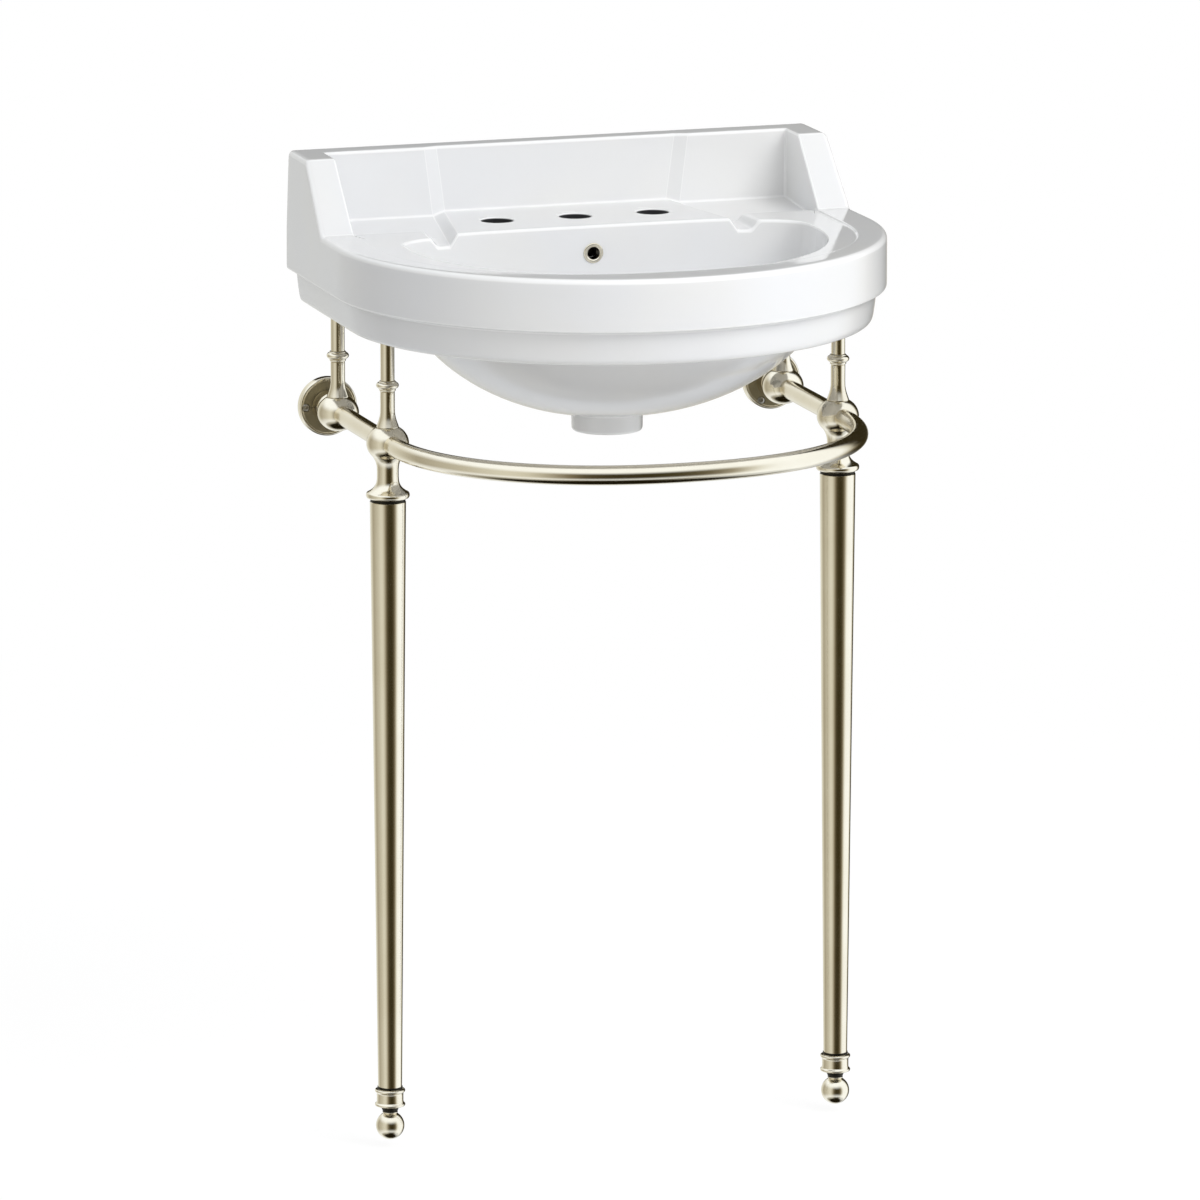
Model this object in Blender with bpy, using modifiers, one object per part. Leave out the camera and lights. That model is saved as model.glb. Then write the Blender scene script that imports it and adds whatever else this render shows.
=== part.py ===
"""Console sink: a china basin on a metal stand with two legs, fixed to a wall.

Lengths are in metres. X runs to the right, Y towards the wall and Z up. The origin is the middle
of the basin's back face, on the wall plane, at the height of the rim.
"""
import math

import bmesh
import bpy
from mathutils import Vector

# Installation
RIM_HEIGHT = 0.905
RAIL_HEIGHT = 0.710
LEG_INSET = 0.044
LEG_REACH = 0.213
REAR_BALL_REACH = 0.042

# Fits and cuts
FIT_GAP = 0.0003
THREAD_GAP = 0.0003
CUT_OVERRUN = 0.004
TURNED_STEPS = 16
SCREW_STEPS = 12

# Basin outline, apron and lower band
BASIN_WIDTH = 0.560
BASIN_DEPTH = 0.460
SIDE_RUN = 0.190
BACK_NARROWING = 0.003
FRONT_POWER = 2.0
APRON_HEIGHT = 0.053
APRON_LIP_RADIUS = 0.003
RIM_EDGE_RADIUS = 0.008
STEP_INSET = 0.0105
COVE_HEIGHT = 0.005
BAND_HEIGHT = 0.035
BAND_TAPER = 0.003
BAND_EDGE_RADIUS = 0.006
CHINA_WALL = 0.012
DECK_THICKNESS = 0.020

# Splashback and wings
SPLASH_HEIGHT = 0.067
SPLASH_LEAN = 0.0025
SPLASH_CORNER_RADIUS = 0.011
SPLASH_TOP_CHAMFER = 0.006
SPLASH_ROOT = 0.016
SIDE_PANEL_DEPTH = 0.0255
CENTRE_PANEL_DEPTH = 0.0220
PANEL_FLARE = 0.009
PANEL_BAND_WIDTH = 0.013
WING_THICKNESS = 0.033
WING_TOP_DEPTH = 0.063
WING_FOOT_DEPTH = 0.127

# Bowl and outlet
BOWL_SIDE_RIM_WIDTH = 0.068
BOWL_CENTRE_REACH = 0.215
BOWL_BACK_REACH = 0.1455
BOWL_FRONT_RIM_WIDTH = 0.042
BOWL_FRONT_POWER = 2.05
BOWL_BACK_POWER = 4.0
BOWL_DEPTH = 0.165
BOWL_WALL_POWER = 2.4
BOWL_FLOOR_POWER = 0.65
OUTLET_REACH = 0.190
OUTLET_FLOOR_RADIUS = 0.034
OUTLET_SEAT_RADIUS = 0.031
OUTLET_SEAT_DEPTH = 0.003
OUTLET_BORE_RADIUS = 0.0225
OUTLET_BOSS_RADIUS = 0.0357
OUTLET_BOSS_LENGTH = 0.022
OUTLET_BOSS_ROOT = 0.010

# Rim recess and soap ledges
RECESS_DEPTH = 0.002
RECESS_CENTRE_REACH = 0.205
RECESS_FRONT_MARGIN = 0.0015
RECESS_POWER = 2.2
SEAM_STEP = 0.0005
PLATFORM_TAP_MARGIN = 0.035
PLATFORM_FLARE = 0.026
LEDGE_BACK_DEPTH = 0.0035
LEDGE_SPOUT_DEPTH = 0.0115
LEDGE_FRONT_REACH = 0.114
LEDGE_OUTER_MARGIN = 0.003
LEDGE_BACK_SLOPE_RUN = 0.022
LEDGE_SPOUT_SLOPE_RUN = 0.009
LEDGE_SPOUT_WIDTH = 0.018

# Tap holes and the bay under them
TAP_PITCH = 0.082
TAP_HOLE_RADIUS = 0.0165
TAP_REACH = 0.086
TAP_COUNT = 3
TAP_BAY_SIDE_MARGIN = 0.042
BAY_VENT_WIDTH = 0.007
BAY_VENT_REACH = 0.060
BAY_VENT_DROP = 0.050

# Overflow
OVERFLOW_DROP = 0.028
OVERFLOW_HOLE_RADIUS = 0.0087
OVERFLOW_RING_RADIUS = 0.0103
OVERFLOW_RING_BORE = 0.0064
OVERFLOW_RING_LIP = 0.0014
OVERFLOW_SLEEVE_LENGTH = 0.010
DUCT_RADIUS = 0.0065
DUCT_WALL = 0.005
DUCT_SETBACK = 0.0195
DUCT_BEND_DROP = 0.145
DUCT_END_DROP = 0.187

# Towel rail
RAIL_RADIUS = 0.00975
RAIL_WALL = 0.0012
RAIL_FRONT_SETBACK = 0.010
RAIL_BEND_REACH = 0.235
RAIL_POWER = 2.15
RAIL_BEND_STEPS = 20
RAIL_SOCKET_DEPTH = 0.020
SOCKET_CLEARANCE = 0.0004

# Ball fittings
BALL_RADIUS = 0.02125
BALL_HALF_HEIGHT = 0.0188
BALL_TOP_RADIUS = 0.0113
BALL_NECK_RADIUS = 0.0108
BALL_NECK_DROP = 0.026
BALL_NECK_LENGTH = 0.007
CAP_RADIUS = 0.02175
CAP_FLARE_HEIGHT = 0.0195
CAP_LIP_HEIGHT = 0.006
CAP_SPIGOT_LENGTH = 0.020
WALL_NECK_RADIUS = 0.0170
WALL_NECK_SETBACK = 0.0150
WALL_NECK_SHOULDER = 0.0030
WALL_SPIGOT_RADIUS = 0.0080
WALL_SPIGOT_LENGTH = 0.0080

# Wall flanges and their screws
FLANGE_RADIUS = 0.0300
FLANGE_THICKNESS = 0.0100
FLANGE_EDGE_RADIUS = 0.0025
FLANGE_SCREW_CIRCLE_RADIUS = 0.0237
FLANGE_SCREW_COUNT = 3
SCREW_HEAD_RADIUS = 0.0038
SCREW_HEAD_HEIGHT = 0.0024
SCREW_SHANK_RADIUS = 0.0020
SCREW_RECESS_RADIUS = 0.0012
SCREW_RECESS_DEPTH = 0.0012

# Posts, collars, pins and pads
POST_RADIUS = 0.00725
POST_FOOT_HEIGHT = 0.0135
POST_LENGTH = 0.0361
POST_STUD_RADIUS = 0.0040
POST_BORE_DEPTH = 0.020
COLLAR_RADIUS = 0.01125
COLLAR_LIP_RADIUS = 0.0084
COLLAR_HEIGHT = 0.0100
PIN_RADIUS = 0.0070
PIN_SHANK_LENGTH = 0.026
PAD_RADIUS = 0.0090
PAD_THICKNESS = 0.0020

# Legs
LEG_TOP_RADIUS = 0.0180
LEG_FOOT_RADIUS = 0.0119
LEG_WALL = 0.0012
LEG_FOOT_HEIGHT = 0.042
BUSH_LENGTH = 0.018
STUD_RADIUS = 0.0040
STUD_LENGTH = 0.052

# Feet
FOOT_BALL_RADIUS = 0.01425
FOOT_FLAT_RADIUS = 0.0040
FOOT_NECK_TOP_RADIUS = 0.0085
FOOT_NECK_RADIUS = 0.0066
FOOT_BEAD_RADIUS = 0.0074
FOOT_COLLAR_HEIGHT_ABOVE_FLOOR = 0.034
FOOT_COLLAR_HEIGHT = 0.0173
FOOT_COLLAR_LIP_RADIUS = 0.01525
FOOT_COLLAR_WAIST_RADIUS = 0.01345
FOOT_COLLAR_LIP_HEIGHT = 0.0030
FOOT_COLLAR_FLOOR = 0.004
FOOT_COLLAR_CLEARANCE = 0.0009
STUD_SOCKET_DEPTH = 0.014

# Places worked out from the sizes above
HALF_WIDTH = BASIN_WIDTH / 2
BACK_HALF_WIDTH = HALF_WIDTH - BACK_NARROWING
WING_INNER_HALF = BACK_HALF_WIDTH - WING_THICKNESS
RECESS_HALF_WIDTH = WING_INNER_HALF - SEAM_STEP
BOWL_HALF_WIDTH = HALF_WIDTH - BOWL_SIDE_RIM_WIDTH
BOWL_FRONT_REACH = BASIN_DEPTH - BOWL_FRONT_RIM_WIDTH
TAP_BAY_HALF_WIDTH = BOWL_HALF_WIDTH - TAP_BAY_SIDE_MARGIN
PLATFORM_BACK_HALF = TAP_PITCH * (TAP_COUNT - 1) / 2 + PLATFORM_TAP_MARGIN
PLATFORM_FRONT_HALF = PLATFORM_BACK_HALF + PLATFORM_FLARE
PANEL_TOP_HALF = PLATFORM_BACK_HALF + PANEL_FLARE
BASIN_HEIGHT = APRON_HEIGHT + BAND_HEIGHT
LEG_X = HALF_WIDTH - LEG_INSET
FLOOR_Z = -RIM_HEIGHT
RAIL_Z = RAIL_HEIGHT - RIM_HEIGHT
BALL_TOP_RISE = BALL_HALF_HEIGHT * math.sqrt(1 - (BALL_TOP_RADIUS / BALL_RADIUS) ** 2)
CAP_DROP = BALL_NECK_DROP + BALL_NECK_LENGTH + CAP_FLARE_HEIGHT + CAP_LIP_HEIGHT
OUTLET = Vector((0.0, -OUTLET_REACH))

SINK = bpy.data.collections.new("console_sink")
CUTTERS = bpy.data.collections.new("console_sink_cutters")


def clear_scene():
    """Remove every object that the file opened with."""
    for item in list(bpy.data.objects):
        bpy.data.objects.remove(item, do_unlink=True)


def make_material(name, colour, roughness, metallic):
    """Return a Principled material of one colour."""
    material = bpy.data.materials.new(name)
    material.use_nodes = True
    shader = material.node_tree.nodes["Principled BSDF"]
    shader.inputs["Base Color"].default_value = (*colour, 1.0)
    shader.inputs["Roughness"].default_value = roughness
    shader.inputs["Metallic"].default_value = metallic
    material.diffuse_color = (*colour, 1.0)
    return material


def add_part(name, mesh, material):
    """Link a mesh as a part of the sink."""
    part = bpy.data.objects.new(name, mesh)
    mesh.materials.clear()
    mesh.materials.append(material)
    SINK.objects.link(part)
    return part


def add_cutter(name, mesh):
    """Link a mesh as a tool that shapes a part and isn't part of the sink."""
    cutter = bpy.data.objects.new(name, mesh)
    cutter.hide_render = True
    cutter.display_type = "WIRE"
    CUTTERS.objects.link(cutter)
    return cutter


def combine(target, tool, operation):
    """Join, cut or intersect the target with the tool."""
    modifier = target.modifiers.new(tool.name, "BOOLEAN")
    modifier.operation = operation
    modifier.solver = "EXACT"
    modifier.object = tool


def shade_round(mesh):
    """Shade a mesh smooth with its corners kept sharp."""
    mesh.shade_smooth()
    mesh.set_sharp_from_angle(angle=math.radians(35.0))


def loft_mesh(name, rings):
    """Return a closed mesh through rings of equal point counts, each ring a closed loop."""
    body = bmesh.new()
    loops = [[body.verts.new(point) for point in ring] for ring in rings]
    count = len(rings[0])
    for upper, lower in zip(loops, loops[1:]):
        for index in range(count):
            following = (index + 1) % count
            body.faces.new((upper[index], lower[index], lower[following], upper[following]))
    body.faces.new(loops[0])
    body.faces.new(reversed(loops[-1]))
    bmesh.ops.recalc_face_normals(body, faces=body.faces)
    mesh = bpy.data.meshes.new(name)
    body.to_mesh(mesh)
    body.free()
    shade_round(mesh)
    return mesh


def profile_mesh(name, profile, closed):
    """Return the edges of a profile of (radius, height) points in the XZ plane."""
    vertices = [(radius, 0.0, height) for radius, height in profile]
    edges = [(index, index + 1) for index in range(len(vertices) - 1)]
    if closed:
        edges.append((len(vertices) - 1, 0))
    mesh = bpy.data.meshes.new(name)
    mesh.from_pydata(vertices, edges, [])
    return mesh


def turn(part, steps):
    """Turn a part's profile round its own Z axis."""
    screw = part.modifiers.new("turned", "SCREW")
    screw.axis = "Z"
    screw.steps = steps
    screw.render_steps = steps
    screw.use_merge_vertices = True
    screw.merge_threshold = FIT_GAP / 30
    screw.use_smooth_shade = True
    return part


def turned_part(
    name, profile, place, material, closed=False, upright=True, steps=TURNED_STEPS
):
    """Add a part turned from a profile. One that isn't upright has its axis out from the wall."""
    part = turn(add_part(name, profile_mesh(name, profile, closed), material), steps)
    part.location = place
    if not upright:
        part.rotation_euler = (math.pi / 2, 0.0, 0.0)
    return part


def turned_cutter(name, profile, place, upright=True, steps=TURNED_STEPS):
    """Add a cutter turned from a profile that starts and ends on its axis."""
    cutter = turn(add_cutter(name, profile_mesh(name, profile, False)), steps)
    cutter.location = place
    if not upright:
        cutter.rotation_euler = (math.pi / 2, 0.0, 0.0)
    return cutter


def rod(radius, bottom, top):
    """Return the profile of a plain rod."""
    return [(0.0, top), (radius, top), (radius, bottom), (0.0, bottom)]


def tube_mesh(name, points, radius, resolution):
    """Return the closed mesh of a round bar along a line of points."""
    curve = bpy.data.curves.new(name, "CURVE")
    curve.dimensions = "3D"
    curve.bevel_depth = radius
    curve.bevel_resolution = resolution
    curve.use_fill_caps = True
    spline = curve.splines.new("POLY")
    spline.points.add(len(points) - 1)
    for target, point in zip(spline.points, points):
        target.co = (*point, 1.0)
    bar = bpy.data.objects.new(name + "_curve", curve)
    bpy.context.scene.collection.objects.link(bar)
    depsgraph = bpy.context.evaluated_depsgraph_get()
    mesh = bpy.data.meshes.new_from_object(bar.evaluated_get(depsgraph))
    bpy.data.objects.remove(bar, do_unlink=True)
    body = bmesh.new()
    body.from_mesh(mesh)
    bmesh.ops.remove_doubles(body, verts=body.verts, dist=FIT_GAP / 30)
    bmesh.ops.recalc_face_normals(body, faces=body.faces)
    body.to_mesh(mesh)
    body.free()
    shade_round(mesh)
    return mesh


def arc(half_width, length, power, start, end, steps):
    """Return points of a superellipse arc, angles in degrees, as (x, y) from its centre."""
    points = []
    for step in range(steps + 1):
        angle = math.radians(start + (end - start) * step / steps)
        across, along = math.cos(angle), math.sin(angle)
        points.append(
            (
                math.copysign(abs(across) ** (2 / power), across) * half_width,
                math.copysign(abs(along) ** (2 / power), along) * length,
            )
        )
    return points


def basin_ring(inset, height, back=0.0):
    """Return the basin's outline in plan, drawn in by an inset on its sides and front."""
    half_width = HALF_WIDTH - inset
    points = [(BACK_HALF_WIDTH - inset, -back), (inset - BACK_HALF_WIDTH, -back)]
    front = arc(half_width, BASIN_DEPTH - SIDE_RUN - inset, FRONT_POWER, 180.0, 360.0, 32)
    points += [(x, y - SIDE_RUN) for x, y in front]
    return [(x, y, height) for x, y in points]


def quarter(radius, steps):
    """Return (inset, drop) pairs that round an edge from its top face to its side."""
    angles = [math.pi / 2 * step / steps for step in range(steps + 1)]
    return [(radius * (1 - math.sin(a)), radius * (1 - math.cos(a))) for a in angles]


def basin_body():
    """Return the mesh of the basin's solid body: rounded rim, apron, cove and lower band."""
    levels = [(inset, -drop) for inset, drop in quarter(RIM_EDGE_RADIUS, 3)]
    lip_share = 0.35
    levels += [
        (0.0, APRON_LIP_RADIUS - APRON_HEIGHT),
        (APRON_LIP_RADIUS * lip_share, APRON_LIP_RADIUS * lip_share - APRON_HEIGHT),
        (APRON_LIP_RADIUS, -APRON_HEIGHT),
        (STEP_INSET - APRON_LIP_RADIUS * lip_share, -APRON_HEIGHT - COVE_HEIGHT * lip_share),
        (STEP_INSET, -APRON_HEIGHT - COVE_HEIGHT),
    ]
    foot_inset = STEP_INSET + BAND_TAPER
    for inset, drop in reversed(quarter(BAND_EDGE_RADIUS, 2)):
        levels.append((foot_inset + inset, drop - BASIN_HEIGHT))
    return loft_mesh("basin", [basin_ring(inset, height) for inset, height in levels])


def splash_block():
    """Add the tool for the splashback and its two wings."""
    levels = [(SEAM_STEP, -SPLASH_ROOT), (0.0, CUT_OVERRUN)]
    rounding = reversed(quarter(SPLASH_CORNER_RADIUS, 3))
    levels += [(SPLASH_LEAN + inset, SPLASH_HEIGHT - drop) for inset, drop in rounding]
    levels.reverse()
    block = add_cutter(
        "splash_block", loft_mesh("splash_block", [basin_ring(inset, z) for inset, z in levels])
    )

    slope = (WING_FOOT_DEPTH - WING_TOP_DEPTH) / SPLASH_HEIGHT
    side = [
        (CUT_OVERRUN, -SPLASH_ROOT - CUT_OVERRUN),
        (CUT_OVERRUN, SPLASH_HEIGHT + CUT_OVERRUN),
        (slope * CUT_OVERRUN - WING_TOP_DEPTH, SPLASH_HEIGHT + CUT_OVERRUN),
        (-WING_FOOT_DEPTH, 0.0),
        (-WING_FOOT_DEPTH, -SPLASH_ROOT - CUT_OVERRUN),
    ]
    reach = HALF_WIDTH + CUT_OVERRUN
    profile = loft_mesh("wing_side", [[(x, y, z) for y, z in side] for x in (-reach, reach)])
    combine(block, add_cutter("wing_side", profile), "INTERSECT")
    combine(block, alcove_cutter(), "DIFFERENCE")
    return block


def alcove_cutter():
    """Add the tool that clears the space between the wings, with the set-back centre panel."""
    def ring(height, panel_half, retreat):
        inner, outer = panel_half, panel_half + PANEL_BAND_WIDTH
        side_y, centre_y = retreat - SIDE_PANEL_DEPTH, retreat - CENTRE_PANEL_DEPTH
        half = [
            (inner, centre_y),
            (outer, side_y),
            (WING_INNER_HALF, side_y),
            (WING_INNER_HALF, -BASIN_DEPTH),
        ]
        mirrored = [(-x, y) for x, y in half]
        return [(x, y, height) for x, y in half[::-1] + mirrored]

    chamfer_foot = SPLASH_HEIGHT - SPLASH_TOP_CHAMFER
    rings = [
        ring(SPLASH_HEIGHT + SPLASH_TOP_CHAMFER, PANEL_TOP_HALF, 2 * SPLASH_TOP_CHAMFER),
        ring(chamfer_foot, PANEL_TOP_HALF, 0.0),
        ring(0.0, PLATFORM_BACK_HALF, 0.0),
        ring(-SPLASH_ROOT / 2, PLATFORM_BACK_HALF, 0.0),
    ]
    return add_cutter("alcove", loft_mesh("alcove", rings))


def cavity_cutter():
    """Add the tool that hollows the apron and the space between it and the bowl."""
    levels = [
        (CHINA_WALL, -DECK_THICKNESS),
        (CHINA_WALL, -APRON_HEIGHT),
        (CHINA_WALL + STEP_INSET, -APRON_HEIGHT - COVE_HEIGHT),
        (CHINA_WALL + STEP_INSET + BAND_TAPER, CHINA_WALL - BASIN_HEIGHT),
    ]
    rings = [basin_ring(inset, height, CHINA_WALL) for inset, height in levels]
    return add_cutter("cavity", loft_mesh("cavity", rings))


def box_cutter(name, low, high):
    """Add a box cutter between two corners."""
    body = bmesh.new()
    bmesh.ops.create_cube(body, size=1.0)
    size = Vector(high) - Vector(low)
    middle = (Vector(high) + Vector(low)) / 2
    bmesh.ops.scale(body, vec=size, verts=body.verts)
    bmesh.ops.translate(body, vec=middle, verts=body.verts)
    mesh = bpy.data.meshes.new(name)
    body.to_mesh(mesh)
    body.free()
    return add_cutter(name, mesh)


def bay_wall(side):
    """Add the wall that closes the hollow rim off from one side of the tap bay."""
    inner, outer = TAP_BAY_HALF_WIDTH - SEAM_STEP, TAP_BAY_HALF_WIDTH + CHINA_WALL
    across = sorted((inner * side, outer * side))
    front = -BOWL_BACK_REACH - 2 * CHINA_WALL
    low = (across[0], front, CHINA_WALL / 2 - BASIN_HEIGHT)
    high = (across[1], -CHINA_WALL / 2, -DECK_THICKNESS / 2)
    return box_cutter("bay_wall_right" if side > 0 else "bay_wall_left", low, high)


def bay_vent():
    """Add the tool for the vents that join the hollow rim to both sides of the tap bay."""
    half, end = BAY_VENT_WIDTH / 2, TAP_BAY_HALF_WIDTH + CHINA_WALL + CUT_OVERRUN
    low = (-end, -BAY_VENT_REACH - half, -BAY_VENT_DROP - half)
    high = (end, half - BAY_VENT_REACH, half - BAY_VENT_DROP)
    return box_cutter("bay_vent", low, high)


def bowl_outline():
    """Return the bowl's opening in plan: a round front and a flatter back."""
    front = arc(
        BOWL_HALF_WIDTH, BOWL_FRONT_REACH - BOWL_CENTRE_REACH, BOWL_FRONT_POWER, 180.0, 360.0, 24
    )
    width_shares = (1.0, 0.98, 0.93, 0.84, 0.70, 0.52, 0.36, 0.23, 0.13, 0.05)
    half = []
    for share in width_shares:
        rise = (1 - share**BOWL_BACK_POWER) ** (1 / BOWL_BACK_POWER)
        half.append((BOWL_HALF_WIDTH * share, (BOWL_CENTRE_REACH - BOWL_BACK_REACH) * rise))
    back = half + [(-x, y) for x, y in reversed(half)]
    return [Vector((x, y - BOWL_CENTRE_REACH)) for x, y in back[:-1] + front[:-1]]


def bowl_spread(depth_share):
    """Return how far out of the outlet the bowl's wall stands, as a share of its opening."""
    return (1 - depth_share**BOWL_WALL_POWER) ** BOWL_FLOOR_POWER


def bowl_ring(depth_share, bottom, wall):
    """Return one level of the bowl, drawn in towards the outlet, with a wall outside it."""
    spread = bowl_spread(depth_share)
    points = []
    for corner in bowl_outline():
        ray = corner - OUTLET
        reach = OUTLET_FLOOR_RADIUS + (ray.length - OUTLET_FLOOR_RADIUS) * spread + wall
        place = OUTLET + ray.normalized() * reach
        points.append((place.x, place.y, -bottom * depth_share))
    return points


def bowl_shell():
    """Add the tool for the outside of the bowl and the outlet boss under it."""
    bottom = BOWL_DEPTH + CHINA_WALL
    level_shares = (0.06, 0.35, 0.55, 0.70, 0.82, 0.91, 0.97, 1.0)
    rings = [bowl_ring(share, bottom, CHINA_WALL) for share in level_shares]
    shell = add_cutter("bowl_shell", loft_mesh("bowl_shell", rings))
    foot = -bottom - OUTLET_BOSS_LENGTH
    boss = rod(OUTLET_BOSS_RADIUS, foot, OUTLET_BOSS_ROOT - bottom)
    combine(shell, turned_cutter("outlet_boss", boss, (0.0, -OUTLET_REACH, 0.0)), "UNION")
    return shell


def bowl_cutter():
    """Add the tool for the inside of the bowl."""
    level_shares = (0.0, 0.15, 0.35, 0.55, 0.70, 0.82, 0.91, 0.97, 1.0)
    rings = [bowl_ring(share, BOWL_DEPTH, 0.0) for share in level_shares]
    rings.insert(0, [(x, y, CUT_OVERRUN) for x, y, z in rings[0]])
    return add_cutter("bowl_inside", loft_mesh("bowl_inside", rings))


def outlet_cutter():
    """Add the tool for the outlet's seat and bore."""
    seat = -BOWL_DEPTH - OUTLET_SEAT_DEPTH
    foot = -BOWL_DEPTH - CHINA_WALL - OUTLET_BOSS_LENGTH - CUT_OVERRUN
    profile = [
        (0.0, CUT_OVERRUN - BOWL_DEPTH),
        (OUTLET_SEAT_RADIUS, CUT_OVERRUN - BOWL_DEPTH),
        (OUTLET_SEAT_RADIUS, seat),
        (OUTLET_BORE_RADIUS, seat),
        (OUTLET_BORE_RADIUS, foot),
        (0.0, foot),
    ]
    return turned_cutter("outlet", profile, (0.0, -OUTLET_REACH, 0.0))


def recess_cutter():
    """Add the tool for the shallow recess round the bowl, which leaves the tap platform proud."""
    front_length = BOWL_FRONT_REACH + RECESS_FRONT_MARGIN - RECESS_CENTRE_REACH
    front = arc(RECESS_HALF_WIDTH, front_length, RECESS_POWER, 180.0, 360.0, 28)
    outline = [(x, y - RECESS_CENTRE_REACH) for x, y in front]
    back = -SIDE_PANEL_DEPTH - SEAM_STEP
    outline += [
        (RECESS_HALF_WIDTH, back),
        (PLATFORM_BACK_HALF, back),
        (PLATFORM_FRONT_HALF, -BOWL_BACK_REACH),
        (PLATFORM_FRONT_HALF, -BOWL_CENTRE_REACH),
        (-PLATFORM_FRONT_HALF, -BOWL_CENTRE_REACH),
        (-PLATFORM_FRONT_HALF, -BOWL_BACK_REACH),
        (-PLATFORM_BACK_HALF, back),
        (-RECESS_HALF_WIDTH, back),
    ]
    rings = [[(x, y, z) for x, y in outline] for z in (CUT_OVERRUN, -RECESS_DEPTH)]
    return add_cutter("recess", loft_mesh("recess", rings))


def ledge_cutter(side):
    """Add the tool for one sunken soap ledge and the spout that drains it into the bowl."""
    back = -SIDE_PANEL_DEPTH - SEAM_STEP
    mouth = -BOWL_BACK_REACH - CUT_OVERRUN
    fall = (LEDGE_SPOUT_DEPTH - LEDGE_BACK_DEPTH) / (mouth - back)

    def floor(x, y):
        return Vector((x * side, y, -LEDGE_BACK_DEPTH - (y - back) * fall))

    foot_back = PLATFORM_BACK_HALF + LEDGE_BACK_SLOPE_RUN
    foot_front = PLATFORM_FRONT_HALF + LEDGE_SPOUT_SLOPE_RUN
    outer = RECESS_HALF_WIDTH - LEDGE_OUTER_MARGIN
    spout = foot_front + LEDGE_SPOUT_WIDTH
    bottom = [
        floor(foot_back, back),
        floor(foot_front, mouth),
        floor(spout, mouth),
        floor(spout, -LEDGE_FRONT_REACH),
        floor(outer, -LEDGE_FRONT_REACH),
        floor(outer, back),
    ]
    edge = [
        Vector((PLATFORM_BACK_HALF * side, back, 0.0)),
        Vector((PLATFORM_FRONT_HALF * side, mouth, 0.0)),
    ]
    top = [high + (high - low) * (CUT_OVERRUN / -low.z) for high, low in zip(edge, bottom)]
    top += [Vector((point.x, point.y, CUT_OVERRUN)) for point in bottom[2:]]
    name = "ledge_right" if side > 0 else "ledge_left"
    return add_cutter(name, loft_mesh(name, [top, bottom]))


def bowl_back_y(depth):
    """Return the place of the bowl's back wall on the centre line at a depth."""
    spread = bowl_spread(depth / BOWL_DEPTH)
    opening = OUTLET_REACH - BOWL_BACK_REACH
    return (opening - OUTLET_FLOOR_RADIUS) * spread + OUTLET_FLOOR_RADIUS - OUTLET_REACH


def duct_points():
    """Return the overflow channel's line, from behind the ring down to the outlet's bore."""
    y = DUCT_SETBACK - BOWL_BACK_REACH
    start = Vector((0.0, y, -OVERFLOW_DROP))
    bend = Vector((0.0, y, -DUCT_BEND_DROP))
    elbow = Vector((0.0, y - DUCT_RADIUS, DUCT_RADIUS - DUCT_END_DROP))
    bore = Vector((0.0, OUTLET_BORE_RADIUS - DUCT_RADIUS - OUTLET_REACH, -DUCT_END_DROP))
    return [start, bend, elbow, bore]


def overflow_tools():
    """Add the overflow channel's wall and the tools that open it."""
    line = duct_points()
    line_in_deck = [line[0] + Vector((0.0, 0.0, OVERFLOW_DROP / 2))] + line[1:]
    boss_end = line[-1] + Vector((0.0, DUCT_RADIUS, 0.0))
    wall_line = line_in_deck[:-1] + [boss_end]
    wall = add_cutter("duct_wall", tube_mesh("duct_wall", wall_line, DUCT_RADIUS + DUCT_WALL, 3))
    bore = add_cutter("duct_bore", tube_mesh("duct_bore", line, DUCT_RADIUS, 2))
    start = bowl_back_y(OVERFLOW_DROP)
    depth = line[0].y - start
    hole = turned_cutter(
        "overflow_hole",
        rod(OVERFLOW_HOLE_RADIUS, -depth, CUT_OVERRUN),
        (0.0, start, -OVERFLOW_DROP),
        upright=False,
    )
    return wall, [bore, hole]


def build_basin(china):
    """Build the basin: the solid body, hollowed, then the bowl, and then every opening."""
    basin = add_part("basin", basin_body(), china)
    combine(basin, splash_block(), "UNION")
    combine(basin, cavity_cutter(), "DIFFERENCE")
    bay_front = -BOWL_BACK_REACH
    bay = box_cutter(
        "tap_bay",
        (-TAP_BAY_HALF_WIDTH, bay_front, -BASIN_HEIGHT - CUT_OVERRUN),
        (TAP_BAY_HALF_WIDTH, -CHINA_WALL - SEAM_STEP, -DECK_THICKNESS - SEAM_STEP),
    )
    combine(basin, bay, "DIFFERENCE")
    for side in (-1, 1):
        combine(basin, bay_wall(side), "UNION")
    combine(basin, bay_vent(), "DIFFERENCE")
    combine(basin, bowl_shell(), "UNION")
    duct_wall, duct_cuts = overflow_tools()
    combine(basin, duct_wall, "UNION")
    combine(basin, bowl_cutter(), "DIFFERENCE")
    combine(basin, outlet_cutter(), "DIFFERENCE")
    combine(basin, recess_cutter(), "DIFFERENCE")
    for side in (-1, 1):
        combine(basin, ledge_cutter(side), "DIFFERENCE")
    for cut in duct_cuts:
        combine(basin, cut, "DIFFERENCE")
    hole = rod(TAP_HOLE_RADIUS, -DECK_THICKNESS - CUT_OVERRUN, CUT_OVERRUN)
    for index in range(TAP_COUNT):
        x = TAP_PITCH * (index - (TAP_COUNT - 1) / 2)
        tap_hole = turned_cutter(f"tap_hole_{index + 1}", hole, (x, -TAP_REACH, 0.0))
        combine(basin, tap_hole, "DIFFERENCE")


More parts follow.
